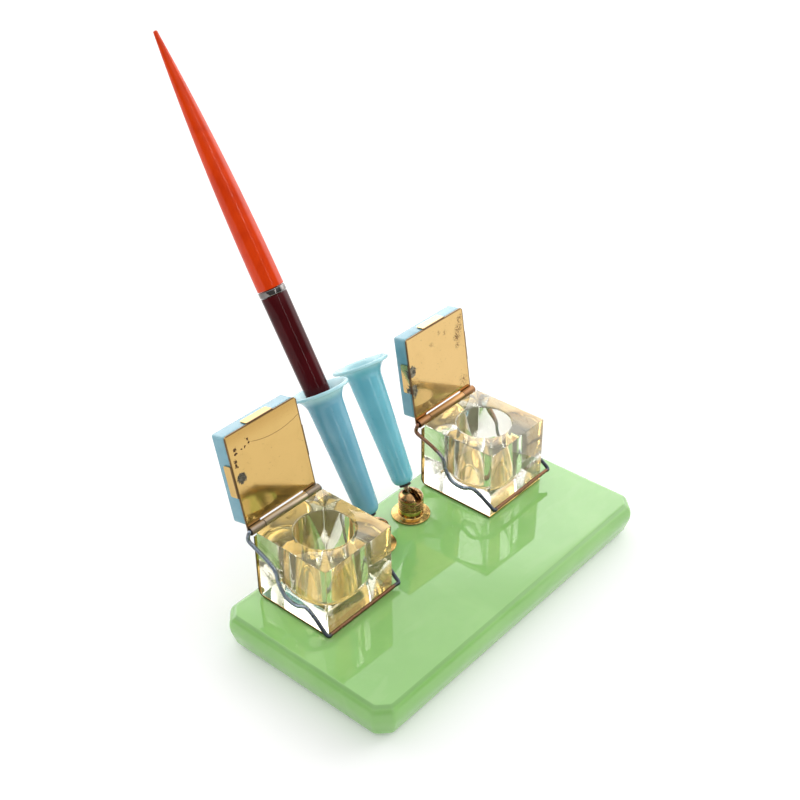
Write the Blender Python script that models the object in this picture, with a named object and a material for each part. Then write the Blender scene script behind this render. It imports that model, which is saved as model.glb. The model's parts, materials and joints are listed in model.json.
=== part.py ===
"""Glass desk set: a slab with two cube inkwells, two pen trumpets on swivels, and a dip pen.

Metres, +Z up, +X along the slab, +Y to the back, where the lids are hinged.
The origin is the middle of the underside. Run it with: blender --background --python part.py
"""

from math import cos, pi, radians, sin, tau

import bmesh
import bpy
from mathutils import Matrix, Vector

MM = 0.001
GAP = 0.3 * MM  # left between pieces that touch

# Driving dimensions
WELL_SIDE = 38.0 * MM  # the glass cubes are 1 1/2 inches across
WELL_HEIGHT = 32.5 * MM
SLAB_LENGTH = 168.0 * MM
SLAB_DEPTH = 84.0 * MM
SLAB_THICKNESS = 15.5 * MM
FELT_THICKNESS = 0.8 * MM
TRUMPET_REACH = 65.0 * MM  # from the swivel's ball to the trumpet's lip
PEN_TAIL_LENGTH = 109.7 * MM

# Places on the slab, which was put together by hand
WELL_X = {"left": -50.6 * MM, "right": 50.6 * MM}
WELL_Y = {"left": 18.6 * MM, "right": 16.6 * MM}
SWIVEL_X = {"left": -14.0 * MM, "right": 11.8 * MM}
SWIVEL_Y = {"left": 24.1 * MM, "right": 26.6 * MM}

# How the set stands at rest, in degrees
LID_OPEN = {"left": 103.0, "right": 98.5}
TRUMPET_TILT = {"left": 28.4, "right": 31.0}
TRUMPET_TURN = {"left": 2.1, "right": 8.0}
TRUMPET_GIRTH = {"left": 1.045, "right": 1.0}  # hand-made, so one is a little fatter and longer
TRUMPET_STRETCH = {"left": 1.0326, "right": 1.0}
PEN_LEAN_BACK = 1.0
PEN_LEAN_SIDE = 2.1

# Slab
SLAB_CLIP = 4.4 * MM
SLAB_ARRIS = 0.5 * MM
SLAB_BELLY = 2.6 * MM  # the pressed sides swell out below the top
SLAB_FOOT_SWELL = 1.2 * MM
SLAB_FOOT_ROUND = 2.2 * MM
FELT_INSET = 2.8 * MM
SLAB_BOTTOM = FELT_THICKNESS + GAP
SLAB_TOP = SLAB_BOTTOM + SLAB_THICKNESS

# Inkwells
SHEET = 0.55 * MM
BACK_GAP = 1.2 * MM  # the bend holds the glass this far off the back plate
BEND_RADIUS = 3.0 * MM
BORE_RADIUS = 12.3 * MM
BORE_DEPTH = 26.0 * MM
BORE_FLOOR_ROUND = 3.0 * MM
BORE_MOUTH_ROUND = 0.6 * MM
WELL_ARRIS = 0.4 * MM
WIRE_RADIUS = 0.85 * MM
KNUCKLE_INNER = WIRE_RADIUS + 0.35 * MM
KNUCKLE_OUTER = KNUCKLE_INNER + SHEET
KNUCKLE_WRAP = radians(300)
MIDDLE_KNUCKLE = 24.0 * MM
KNUCKLE_GAP = 0.35 * MM
PLATE_WIDTH = 39.0 * MM
PLATE_OVERHANG = {"left": 1.1 * MM, "right": 0.4 * MM}  # past the front of the well
LID_GLASS_THICKNESS = {"left": 7.8 * MM, "right": 7.0 * MM}
LID_GLASS_ARRIS = 1.1 * MM
TAB_WIDTH = 14.0 * MM
TAB_HEIGHT = 4.2 * MM
TAB_SHEET = 0.35 * MM
WIRE_GAP = 0.6 * MM  # from the well's sides
HINGE_BEND = 1.1 * MM  # how far before the arm the wire starts to turn
# Each bail is bent by hand: how far forward and up its front run hangs, and how wide its right corner stands
BAIL_STANDOFF = {"left": 0.0 * MM, "right": 2.0 * MM}
BAIL_LIFT = {"left": 0.0 * MM, "right": 2.2 * MM}
BAIL_SPREAD = {"left": 1.6 * MM, "right": 0.0 * MM}
PIN_LENGTH = 6.0 * MM

FLOOR_BOTTOM = SLAB_TOP + GAP
GLASS_BOTTOM = FLOOR_BOTTOM + SHEET + GAP
GLASS_TOP = GLASS_BOTTOM + WELL_HEIGHT
BACK_PLATE_Y = WELL_SIDE / 2 + BACK_GAP  # its inner face, from the middle of the glass
HINGE_Y = BACK_PLATE_Y + KNUCKLE_OUTER
HINGE_Z = GLASS_TOP + GAP - KNUCKLE_INNER

# Swivels
FLANGE_RADIUS = 8.75 * MM
FLANGE_THICKNESS = 0.9 * MM
HEAD_RADIUS = 5.6 * MM
COLLAR_HEIGHT = 4.4 * MM
CAP_SHOULDER = 9.6 * MM
CAP_TOP = 13.0 * MM
CAP_SPIGOT_RADIUS = 4.0 * MM
CAP_BORE_RADIUS = 3.0 * MM
RING_COUNT = 4
RING_DEPTH = 0.35 * MM
SLOT_WIDTH = 3.1 * MM
SLOT_FRONT_FLOOR = 8.8 * MM
SLOT_BACK_FLOOR = 6.9 * MM
PIVOT_HEIGHT = 7.6 * MM
BALL_RADIUS = 2.6 * MM
STEM_RADIUS = 1.25 * MM
POST_RADIUS = 2.65 * MM
POST_HOLE_RADIUS = 3.2 * MM
RECESS_RADIUS = 7.5 * MM
RECESS_DEPTH = 5.2 * MM
SPRING_THICKNESS = 0.7 * MM
NUT_THICKNESS = 2.6 * MM
NUT_RADIUS = 5.2 * MM

# Trumpets, with heights measured from the ball
TRUMPET_FOOT = 8.1 * MM
TRUMPET_FOOT_RADIUS = 2.6 * MM
FOOT_ROUND_TOP = 12.0 * MM
BODY_LOW_RADIUS = 5.0 * MM
FLARE_START = 57.0 * MM
BODY_HIGH_RADIUS = 7.35 * MM
LIP_RADIUS = 12.85 * MM
LIP_THICKNESS = 1.6 * MM
TRUMPET_WALL = 1.1 * MM
TRUMPET_FLOOR = 4.0 * MM
STEM_HOLE_RADIUS = 1.6 * MM
SEAT_WASHER_THICKNESS = 0.8 * MM
SEAT_NUT_THICKNESS = 1.5 * MM
SEAT_RADIUS = 2.7 * MM

# Pen, with heights measured along it from where it crosses the trumpet's axis
PEN_CROSSING = 38.0 * MM  # above the ball
NIB_TIP = -20.4 * MM
GRIP_END = 1.6 * MM
BARREL_TOP = 72.3 * MM
BAND_WIDTH = 2.5 * MM
BARREL_RADIUS = 5.7 * MM
BAND_RADIUS = 5.85 * MM
TAIL_RADIUS = 5.8 * MM
TAIL_TIP_RADIUS = 0.9 * MM
TENON_RADIUS = 2.9 * MM
TENON_LENGTH = 9.0 * MM
NIB_RADIUS = 2.2 * MM
NIB_THICKNESS = 0.3 * MM
FERRULE_RADIUS = 2.75 * MM
FERRULE_LENGTH = 9.0 * MM

ROUND_STEPS = 28
SIDES = ("left", "right")


# ---- helpers ----


def clear_scene():
    for old in list(bpy.data.objects):
        bpy.data.objects.remove(old)


def material(name, colour, roughness, metallic=0.0):
    made = bpy.data.materials.new(name)
    made.use_nodes = True
    shader = made.node_tree.nodes["Principled BSDF"]
    shader.inputs["Base Color"].default_value = (*colour, 1.0)
    shader.inputs["Roughness"].default_value = roughness
    shader.inputs["Metallic"].default_value = metallic
    return made


def add_object(name, bm, finish=None, parent=None):
    bmesh.ops.recalc_face_normals(bm, faces=bm.faces)
    mesh = bpy.data.meshes.new(name)
    bm.to_mesh(mesh)
    bm.free()
    made = bpy.data.objects.new(name, mesh)
    bpy.context.scene.collection.objects.link(made)
    if finish:
        mesh.materials.append(finish)
    made.parent = parent
    return made


def shade_round(piece, sharp_angle=35.0):
    piece.data.shade_smooth()
    piece.data.set_sharp_from_angle(angle=radians(sharp_angle))


def add_pivot(name, location, rotation=(0.0, 0.0, 0.0), parent=None):
    """An empty on a joint's axis, which the moving pieces hang from."""
    pivot = bpy.data.objects.new(name, None)
    bpy.context.scene.collection.objects.link(pivot)
    pivot.location = location
    pivot.rotation_euler = rotation
    pivot.empty_display_size = 5 * MM
    pivot.parent = parent
    return pivot


def cut(piece, cutter):
    """Takes the cutter's shape out of the piece."""
    cutter.parent = piece
    cutter.hide_render = True
    cutter.display_type = "WIRE"
    taken = piece.modifiers.new("cut " + cutter.name, "BOOLEAN")
    taken.operation = "DIFFERENCE"
    taken.object = cutter


def join(piece, extra):
    """Welds the extra shape onto the piece."""
    extra.parent = piece
    extra.hide_render = True
    extra.display_type = "WIRE"
    added = piece.modifiers.new("join " + extra.name, "BOOLEAN")
    added.operation = "UNION"
    added.object = extra


def soften(piece, width, segments=2):
    rounded = piece.modifiers.new("soften", "BEVEL")
    rounded.width = width
    rounded.segments = segments
    rounded.limit_method = "ANGLE"


def box(low, high):
    bm = bmesh.new()
    bmesh.ops.create_cube(bm, size=1.0)
    size = Vector(high) - Vector(low)
    middle = (Vector(high) + Vector(low)) / 2
    bmesh.ops.scale(bm, vec=size, verts=bm.verts)
    bmesh.ops.translate(bm, vec=middle, verts=bm.verts)
    return bm


def prism(outline, low, high, axis="Z"):
    """A flat outline pushed from low to high, along Z or, for a (y, z) outline, along X."""
    bm = bmesh.new()
    if axis == "Z":
        corners = [bm.verts.new((a, b, low)) for a, b in outline]
        push = Vector((0, 0, high - low))
    else:
        corners = [bm.verts.new((low, a, b)) for a, b in outline]
        push = Vector((high - low, 0, 0))
    face = bm.faces.new(corners)
    pushed = bmesh.ops.extrude_face_region(bm, geom=[face])["geom"]
    bmesh.ops.translate(bm, vec=push, verts=[v for v in pushed if isinstance(v, bmesh.types.BMVert)])
    return bm


def turned(outline, steps=ROUND_STEPS):
    """A (radius, height) outline spun about Z. It closes itself, unless both its ends are on the axis."""
    bm = bmesh.new()
    points = [bm.verts.new((radius, 0, height)) for radius, height in outline]
    ends_on_axis = outline[0][0] == 0 and outline[-1][0] == 0
    following = points[1:] if ends_on_axis else points[1:] + points[:1]
    edges = [bm.edges.new(pair) for pair in zip(points, following)]
    bmesh.ops.spin(bm, geom=points + edges, axis=(0, 0, 1), angle=tau, steps=steps, use_merge=True)
    bmesh.ops.remove_doubles(bm, verts=bm.verts, dist=0.001 * MM)
    return bm


def arc(centre, radius, start, end, steps):
    """Points on a circle in an outline's plane, from one angle to another, both included."""
    angles = [start + (end - start) * i / steps for i in range(steps + 1)]
    return [(centre[0] + radius * cos(a), centre[1] + radius * sin(a)) for a in angles]


def smooth_path(points, steps):
    """A smooth curve through the points, its slope at each one set by its two neighbours."""
    ends = [points[0]] + points + [points[-1]]
    path = []
    for before, here, there, after in zip(ends, ends[1:], ends[2:], ends[3:]):
        length = (there - here).length
        leaving = (there - before).normalized() * length
        arriving = (after - here).normalized() * length
        for step in range(steps):
            t = step / steps
            path.append(
                here * (2 * t**3 - 3 * t**2 + 1) + leaving * (t**3 - 2 * t**2 + t)
                + there * (3 * t**2 - 2 * t**3) + arriving * (t**3 - t**2)
            )
    return path + [points[-1]]


def wire(path, radius, sides=8):
    """A round wire along a path, with flat ends."""
    bm = bmesh.new()
    rings = []
    across = Vector((0, 0, 1))
    for i, here in enumerate(path):
        before = path[max(i - 1, 0)]
        after = path[min(i + 1, len(path) - 1)]
        along = (after - before).normalized()
        across = (across - along * across.dot(along)).normalized()
        aside = along.cross(across)
        angles = [tau * k / sides for k in range(sides)]
        rings.append([bm.verts.new(here + radius * (across * cos(a) + aside * sin(a))) for a in angles])
    for ring, following in zip(rings, rings[1:]):
        for k in range(sides):
            bm.faces.new((ring[k], ring[(k + 1) % sides], following[(k + 1) % sides], following[k]))
    bm.faces.new(rings[0])
    bm.faces.new(rings[-1])
    return bm


# ---- materials ----


def make_materials():
    return {
        "green_glass": material("green_glass", (0.38, 0.66, 0.27), 0.12),
        "felt": material("felt", (0.06, 0.14, 0.07), 0.95),
        "clear_glass": material("clear_glass", (0.93, 0.95, 0.90), 0.02),
        "blue_glass": material("blue_glass", (0.18, 0.42, 0.51), 0.12),
        "lid_brass": material("lid_brass", (0.74, 0.49, 0.17), 0.18, 1.0),
        "turned_brass": material("turned_brass", (0.62, 0.38, 0.13), 0.28, 1.0),
        "dark_brass": material("dark_brass", (0.26, 0.13, 0.08), 0.35, 1.0),
        "spring_wire": material("spring_wire", (0.16, 0.18, 0.21), 0.38, 1.0),
        "steel": material("steel", (0.42, 0.42, 0.41), 0.30, 1.0),
        "fibre": material("fibre", (0.03, 0.025, 0.02), 0.80),
        "orange": material("orange", (0.75, 0.06, 0.003), 0.15),
        "maroon": material("maroon", (0.09, 0.006, 0.009), 0.12),
        "plated": material("plated", (0.55, 0.54, 0.50), 0.20, 1.0),
    }


# ---- base ----


def clipped_rectangle(length, depth, clip, swell=0.0):
    """A rectangle with its corners cut off at 45 degrees, and all eight sides moved out by the swell."""
    x, y = length / 2 + swell, depth / 2 + swell
    clip += swell * (2 - 2**0.5)
    return [
        (x, y - clip), (x - clip, y), (clip - x, y), (-x, y - clip),
        (-x, clip - y), (clip - x, -y), (x - clip, -y), (x, clip - y),
    ]


def slab_swells():
    """(height, swell) down the slab's side: a belly, fullest in its upper half, then a quarter round at the foot."""
    round_top = SLAB_BOTTOM + SLAB_FOOT_ROUND
    steps = 8
    side = [
        (SLAB_TOP + (round_top - SLAB_TOP) * t, SLAB_FOOT_SWELL * t + SLAB_BELLY * sin(pi * t**0.7))
        for t in (i / steps for i in range(steps + 1))
    ]
    foot = [
        (round_top - SLAB_FOOT_ROUND * sin(a), SLAB_FOOT_SWELL - SLAB_FOOT_ROUND * (1 - cos(a)))
        for a in (pi / 8, pi / 4, 3 * pi / 8, pi / 2)
    ]
    return side + foot


def build_slab(finishes):
    bm = bmesh.new()
    rings = []
    for height, swell in slab_swells():
        outline = clipped_rectangle(SLAB_LENGTH, SLAB_DEPTH, SLAB_CLIP, swell)
        rings.append([bm.verts.new((x, y, height)) for x, y in outline])
    for ring, following in zip(rings, rings[1:]):
        for k in range(len(ring)):
            after = (k + 1) % len(ring)
            bm.faces.new((ring[k], ring[after], following[after], following[k]))
    bm.faces.new(rings[0])
    bm.faces.new(rings[-1])
    slab = add_object("base_slab", bm, finishes["green_glass"])
    soften(slab, SLAB_ARRIS)
    shade_round(slab, 25)
    return slab


def build_base(finishes):
    slab = build_slab(finishes)
    recess_top = SLAB_BOTTOM + RECESS_DEPTH
    drill = [
        (0, SLAB_TOP + 1 * MM), (POST_HOLE_RADIUS, SLAB_TOP + 1 * MM), (POST_HOLE_RADIUS, recess_top),
        (RECESS_RADIUS, recess_top), (RECESS_RADIUS, SLAB_BOTTOM - 1 * MM), (0, SLAB_BOTTOM - 1 * MM),
    ]
    for side in SIDES:
        hole = add_object("hole_" + side, turned(drill))
        hole.location = (SWIVEL_X[side], SWIVEL_Y[side], 0)
        cut(slab, hole)
    inside = clipped_rectangle(SLAB_LENGTH - 2 * FELT_INSET, SLAB_DEPTH - 2 * FELT_INSET, SLAB_CLIP)
    add_object("base_felt", prism(inside, 0, FELT_THICKNESS), finishes["felt"])


# ---- inkwells ----


def bracket_outline():
    """The bracket's sheet seen from the side: floor, bend, back plate, and the curl round the hinge."""
    half = WELL_SIDE / 2
    outer_back = BACK_PLATE_Y + SHEET
    bend = (outer_back - BEND_RADIUS, FLOOR_BOTTOM + BEND_RADIUS)
    hinge = (HINGE_Y, HINGE_Z)
    outer = [(-half, FLOOR_BOTTOM)] + arc(bend, BEND_RADIUS, -pi / 2, 0, 5)
    # The outer face of the back plate meets the inside of the curl.
    curl_inside = arc(hinge, KNUCKLE_INNER, pi, pi - KNUCKLE_WRAP, 14)
    curl_outside = arc(hinge, KNUCKLE_OUTER, pi - KNUCKLE_WRAP, pi, 14)
    inner = arc(bend, BEND_RADIUS - SHEET, 0, -pi / 2, 5) + [(-half, FLOOR_BOTTOM + SHEET)]
    return outer + curl_inside + curl_outside + inner


def build_bracket(side, centre, finishes):
    half = WELL_SIDE / 2
    name = "bracket_" + side
    bracket = add_object(name, prism(bracket_outline(), -half, half, "X"), finishes["lid_brass"])
    bracket.location = (*centre, 0)
    shade_round(bracket)
    shoulder = HINGE_Z - KNUCKLE_OUTER - KNUCKLE_GAP
    for end, sign in (("left", -1), ("right", 1)):
        near = sign * MIDDLE_KNUCKLE / 2
        far = sign * (half + 1 * MM)
        low = (min(near, far), BACK_PLATE_Y - 1 * MM, shoulder)
        high = (max(near, far), HINGE_Y + 3 * MM, HINGE_Z + 3 * MM)
        cut(bracket, add_object(name + "_notch_" + end, box(low, high)))
    return bracket


def build_well_glass(side, centre, finishes):
    half = WELL_SIDE / 2
    low, high = (-half, -half, GLASS_BOTTOM), (half, half, GLASS_TOP)
    glass = add_object("well_glass_" + side, box(low, high), finishes["clear_glass"])
    glass.location = (*centre, 0)
    soften(glass, WELL_ARRIS, 1)
    floor = GLASS_TOP - BORE_DEPTH
    mouth = BORE_RADIUS + BORE_MOUTH_ROUND
    round_middle = (BORE_RADIUS - BORE_FLOOR_ROUND, floor + BORE_FLOOR_ROUND)
    bore = [(0, GLASS_TOP + 1 * MM), (mouth, GLASS_TOP + 1 * MM)]
    bore += arc((mouth, GLASS_TOP - BORE_MOUTH_ROUND), BORE_MOUTH_ROUND, pi / 2, pi, 2)
    bore += arc(round_middle, BORE_FLOOR_ROUND, 0, -pi / 2, 3) + [(0, floor)]
    cut(glass, add_object("well_bore_" + side, turned(bore)))
    return glass


def lid_outline(side):
    """The closed lid's sheet seen from the side, about its hinge: a flat plate and its curl."""
    front = -WELL_SIDE / 2 - HINGE_Y - PLATE_OVERHANG[side]
    hinge = (0, 0)
    inside = arc(hinge, KNUCKLE_INNER, pi / 2, pi / 2 - KNUCKLE_WRAP, 14)
    outside = arc(hinge, KNUCKLE_OUTER, pi / 2 - KNUCKLE_WRAP, pi / 2, 14)
    return [(front, KNUCKLE_INNER)] + inside + outside + [(front, KNUCKLE_OUTER)]


def tab_outline():
    """A tab seen from its end, folding up at 0: its root is inside the plate, its blade outside."""
    root = KNUCKLE_INNER + (SHEET - TAB_SHEET) / 2
    top = KNUCKLE_OUTER + TAB_HEIGHT
    corner = (0, root + TAB_SHEET)
    return (
        [(-2 * MM, root)] + arc(corner, TAB_SHEET, -pi / 2, 0, 3)
        + [(TAB_SHEET, top), (0, top), corner, (-2 * MM, root + TAB_SHEET)]
    )


def add_tabs(plate, side):
    """Three tabs: one on the front edge and one on each side edge."""
    middle = -HINGE_Y
    places = {
        "front": (Vector((0, middle - WELL_SIDE / 2 - PLATE_OVERHANG[side], 0)), -pi / 2),
        "left": (Vector((-PLATE_WIDTH / 2, middle, 0)), pi),
        "right": (Vector((PLATE_WIDTH / 2, middle, 0)), 0.0),
    }
    for where, (place, turn) in places.items():
        # The outline's first axis is outwards, so it is turned from Y to X and then to its own edge.
        tab = prism(tab_outline(), -TAB_WIDTH / 2, TAB_WIDTH / 2, "X")
        aim = Matrix.Translation(place) @ Matrix.Rotation(turn - pi / 2, 4, "Z")
        bmesh.ops.transform(tab, matrix=aim, verts=tab.verts)
        join(plate, add_object(f"tab_{where}_{side}", tab))


def build_lid(side, centre, finishes):
    hinge = (centre[0], centre[1] + HINGE_Y, HINGE_Z)
    pivot = add_pivot("lid_hinge_" + side, hinge, (-radians(LID_OPEN[side]), 0, 0))
    half = PLATE_WIDTH / 2
    plate = add_object("lid_plate_" + side, prism(lid_outline(side), -half, half, "X"), finishes["lid_brass"], pivot)
    shade_round(plate)
    cleared = MIDDLE_KNUCKLE / 2 + KNUCKLE_GAP
    edge = -KNUCKLE_OUTER - KNUCKLE_GAP
    cut(plate, add_object("knuckle_notch_" + side, box((-cleared, edge, -3 * MM), (cleared, 3 * MM, 3 * MM))))
    add_tabs(plate, side)

    glass_bottom = KNUCKLE_OUTER + GAP
    back = -KNUCKLE_OUTER - GAP
    front = -HINGE_Y - WELL_SIDE / 2 - PLATE_OVERHANG[side]
    low = (-half + GAP, front + GAP, glass_bottom)
    high = (half - GAP, back, glass_bottom + LID_GLASS_THICKNESS[side])
    block = add_object("lid_glass_" + side, box(low, high), finishes["blue_glass"], pivot)
    soften(block, LID_GLASS_ARRIS)


def bail_arm(side, x_hinge, x_front):
    """One side arm, from the hinge down to the front corner: two long bends, then a straight end."""
    bends = [
        (0.1, -1.1), (0.4, -4.0), (-2.4, -5.6), (-9.2, -8.4), (-14.2, -12.0), (-15.6, -17.2),
        (-19.4, -22.6), (-25.2, -23.6), (-30.4, -21.6), (-34.8, -23.8), (-40.2, -28.6),
    ]
    last = len(bends) - 1
    forward = 1 - BAIL_STANDOFF[side] / (bends[last][0] * MM)
    upward = 1 + BAIL_STANDOFF[side] / (bends[last][1] * MM)
    path = []
    for i, (y, z) in enumerate(bends):
        share = i / last
        lift = BAIL_LIFT[side] * share**8  # only the front end is bent up
        path.append(Vector((x_hinge + (x_front - x_hinge) * share, y * forward * MM, z * upward * MM + lift)))
    return path


def build_bail(side, centre, finishes):
    hinge = (centre[0], centre[1] + HINGE_Y, HINGE_Z)
    pivot = add_pivot("bail_hinge_" + side, hinge)
    beside = WELL_SIDE / 2 + WIRE_GAP + WIRE_RADIUS
    standoff = BAIL_STANDOFF[side]
    front_y = -HINGE_Y - WELL_SIDE / 2 - GAP - WIRE_RADIUS - standoff
    front_z = GLASS_BOTTOM + 1.6 * MM - HINGE_Z + standoff + BAIL_LIFT[side]
    spread = BAIL_SPREAD[side]
    turn = 2.0 * MM
    pin_end = Vector((PLATE_WIDTH / 2 - PIN_LENGTH, 0, 0))
    pin_start = Vector((beside - HINGE_BEND, 0, 0))
    mirror = Vector((-1, 1, 1))
    left_arm = bail_arm(side, -beside, -beside)
    right_arm = bail_arm(side, beside, beside + spread)
    left_corner = [Vector((-beside + 0.4 * MM, front_y, front_z)), Vector((turn - beside, front_y, front_z))]
    right_corner = [
        Vector((beside + spread - turn, front_y, front_z)),
        Vector((beside + spread - 0.4 * MM, front_y, front_z)),
    ]
    points = (
        [pin_end * mirror, pin_start * mirror] + left_arm + left_corner
        + right_corner + right_arm[::-1] + [pin_start, pin_end]
    )
    shape = wire(smooth_path(points, 2), WIRE_RADIUS)
    bail = add_object("bail_wire_" + side, shape, finishes["spring_wire"], pivot)
    shade_round(bail, 60)


def build_inkwell(side, finishes):
    centre = (WELL_X[side], WELL_Y[side])
    build_bracket(side, centre, finishes)
    build_well_glass(side, centre, finishes)
    build_lid(side, centre, finishes)
    build_bail(side, centre, finishes)


# ---- swivels ----


def collar_outline():
    """Flange and cup, with a step inside that the cap's spigot stands over."""
    step = FLANGE_THICKNESS + 0.6 * MM
    return [
        (HEAD_RADIUS, COLLAR_HEIGHT), (HEAD_RADIUS, FLANGE_THICKNESS + GAP),
        (FLANGE_RADIUS - 0.3 * MM, FLANGE_THICKNESS + GAP), (FLANGE_RADIUS, FLANGE_THICKNESS),
        (FLANGE_RADIUS, GAP), (POST_HOLE_RADIUS, GAP), (POST_HOLE_RADIUS, step),
        (CAP_SPIGOT_RADIUS + GAP, step), (CAP_SPIGOT_RADIUS + GAP, COLLAR_HEIGHT),
    ]


def cap_outline():
    """Dome, grip rings, and the spigot that turns in the collar, round a blind bore for the ball."""
    bottom = COLLAR_HEIGHT + GAP
    dome = arc((0, 0), 1.0, pi / 2, 0, 6)
    outline = [(HEAD_RADIUS * r, CAP_SHOULDER + (CAP_TOP - CAP_SHOULDER) * h) for r, h in dome]
    outline[0] = (0, CAP_TOP)
    pitch = (CAP_SHOULDER - bottom) / (RING_COUNT + 1)
    for ring in range(RING_COUNT):
        groove = CAP_SHOULDER - (ring + 1) * pitch
        outline += [
            (HEAD_RADIUS, groove + 0.25 * pitch), (HEAD_RADIUS - RING_DEPTH, groove),
            (HEAD_RADIUS, groove - 0.25 * pitch),
        ]
    spigot_end = FLANGE_THICKNESS + 0.6 * MM + GAP
    roof = PIVOT_HEIGHT + BALL_RADIUS + GAP
    outline += [
        (HEAD_RADIUS, bottom), (CAP_SPIGOT_RADIUS, bottom), (CAP_SPIGOT_RADIUS, spigot_end),
        (CAP_BORE_RADIUS, spigot_end), (CAP_BORE_RADIUS, PIVOT_HEIGHT + 0.8 * MM),
        (CAP_BORE_RADIUS - 1.2 * MM, roof), (0, roof),
    ]
    return outline


def build_cap(side, pivot, finishes):
    cap = add_object("swivel_cap_" + side, turned(cap_outline(), 24), finishes["dark_brass"], pivot)
    shade_round(cap)
    reach = HEAD_RADIUS + 1 * MM
    half = SLOT_WIDTH / 2
    above = CAP_TOP + 1 * MM
    front = box((-half, -reach, SLOT_FRONT_FLOOR), (half, 0.5 * MM, above))
    back = box((-half, 0, SLOT_BACK_FLOOR), (half, reach, above))
    cut(cap, add_object("slot_front_" + side, front))
    cut(cap, add_object("slot_back_" + side, back))


def build_ball_stem(side, pivot, finishes):
    stem_top = TRUMPET_FOOT + TRUMPET_FLOOR + GAP + SEAT_NUT_THICKNESS + 0.7 * MM
    meets = (BALL_RADIUS**2 - STEM_RADIUS**2) ** 0.5
    start = pi / 2 - (STEM_RADIUS / BALL_RADIUS)
    ball = arc((0, 0), BALL_RADIUS, start, -pi / 2, 9)
    outline = [(0, stem_top), (STEM_RADIUS, stem_top), (STEM_RADIUS, meets)] + ball[1:-1] + [(0, -BALL_RADIUS)]
    stem = add_object("ball_stem_" + side, turned(outline, 18), finishes["steel"], pivot)
    shade_round(stem)


def build_swivel(side, finishes):
    """Returns the empty on the ball, whose Z is the trumpet's axis."""
    place = (SWIVEL_X[side], SWIVEL_Y[side], SLAB_TOP)
    collar = add_object("swivel_collar_" + side, turned(collar_outline()), finishes["turned_brass"])
    collar.location = place
    shade_round(collar)

    turn = add_pivot("turn_" + side, place, (0, 0, -radians(TRUMPET_TURN[side])))
    build_cap(side, turn, finishes)
    nut_bottom = SLAB_BOTTOM - SLAB_TOP + 0.8 * MM
    post_top = PIVOT_HEIGHT - BALL_RADIUS - GAP
    post_outline = [(0, post_top), (POST_RADIUS, post_top), (POST_RADIUS, nut_bottom), (0, nut_bottom)]
    post = add_object("swivel_post_" + side, turned(post_outline, 20), finishes["turned_brass"], turn)
    shade_round(post)

    spring_top = SLAB_BOTTOM + RECESS_DEPTH - SLAB_TOP - GAP
    hole = POST_RADIUS + GAP
    spring_outline = [
        (hole, spring_top - 0.4 * MM), (NUT_RADIUS + 0.8 * MM, spring_top),
        (NUT_RADIUS + 0.8 * MM, spring_top - SPRING_THICKNESS + 0.2 * MM),
        (hole, spring_top - SPRING_THICKNESS - 0.2 * MM),
    ]
    spring = add_object("swivel_spring_" + side, turned(spring_outline, 24), finishes["steel"], turn)
    shade_round(spring)
    nut_top = spring_top - SPRING_THICKNESS - 0.2 * MM - GAP
    hexagon = [(NUT_RADIUS * cos(k * pi / 3), NUT_RADIUS * sin(k * pi / 3)) for k in range(6)]
    nut = add_object("swivel_nut_" + side, prism(hexagon, nut_top - NUT_THICKNESS, nut_top), finishes["steel"], turn)
    bore = [(0, nut_top + 1 * MM), (hole, nut_top + 1 * MM), (hole, nut_top - 5 * MM), (0, nut_top - 5 * MM)]
    cut(nut, add_object("nut_bore_" + side, turned(bore, 20)))

    tilt = add_pivot("tilt_" + side, (0, 0, PIVOT_HEIGHT), (-radians(TRUMPET_TILT[side]), 0, 0), turn)
    build_ball_stem(side, tilt, finishes)
    return tilt


# ---- trumpets ----


def trumpet_radius(height, girth):
    """Outside radius at a height above the rounded foot: a straight taper, then a parabolic flare."""
    high_radius = BODY_HIGH_RADIUS * girth
    if height <= FLARE_START:
        share = (height - FOOT_ROUND_TOP) / (FLARE_START - FOOT_ROUND_TOP)
        low_radius = BODY_LOW_RADIUS * girth
        return low_radius + (high_radius - low_radius) * share
    share = (height - FLARE_START) / (TRUMPET_REACH - FLARE_START)
    return high_radius + (LIP_RADIUS - high_radius) * share**2


def trumpet_outline(girth):
    """Down the outside from the lip, across the foot, up through the stem hole and the bore."""
    lip_low = TRUMPET_REACH - LIP_THICKNESS
    flare = [FLARE_START + (lip_low - FLARE_START) * (5 - i) / 5 for i in range(6)]
    outside = [(trumpet_radius(h, girth), h) for h in flare]
    foot_round = FOOT_ROUND_TOP - TRUMPET_FOOT
    foot_bulge = BODY_LOW_RADIUS * girth - TRUMPET_FOOT_RADIUS
    foot = [
        (TRUMPET_FOOT_RADIUS + foot_bulge * cos(a), FOOT_ROUND_TOP - foot_round * sin(a))
        for a in (k * pi / 8 for k in range(5))
    ]
    floor = TRUMPET_FOOT + TRUMPET_FLOOR
    hole = [(STEM_HOLE_RADIUS, TRUMPET_FOOT), (STEM_HOLE_RADIUS, floor)]
    bore_start = floor + 2 * MM
    bore = [(SEAT_RADIUS + GAP, floor), (trumpet_radius(bore_start, girth) - TRUMPET_WALL, bore_start)]
    inside = [(trumpet_radius(h, girth) - TRUMPET_WALL, h) for h in flare[::-1]]
    bead = LIP_THICKNESS / 2
    lip = arc((LIP_RADIUS - bead, TRUMPET_REACH - bead), bead, radians(110), radians(-80), 5)
    return outside + foot + hole + bore + inside + lip


def stretched(height, side):
    """The body above the foot is drawn out by the side's stretch."""
    above_foot = max(height - FOOT_ROUND_TOP, 0)
    return height + above_foot * (TRUMPET_STRETCH[side] - 1)


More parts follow.
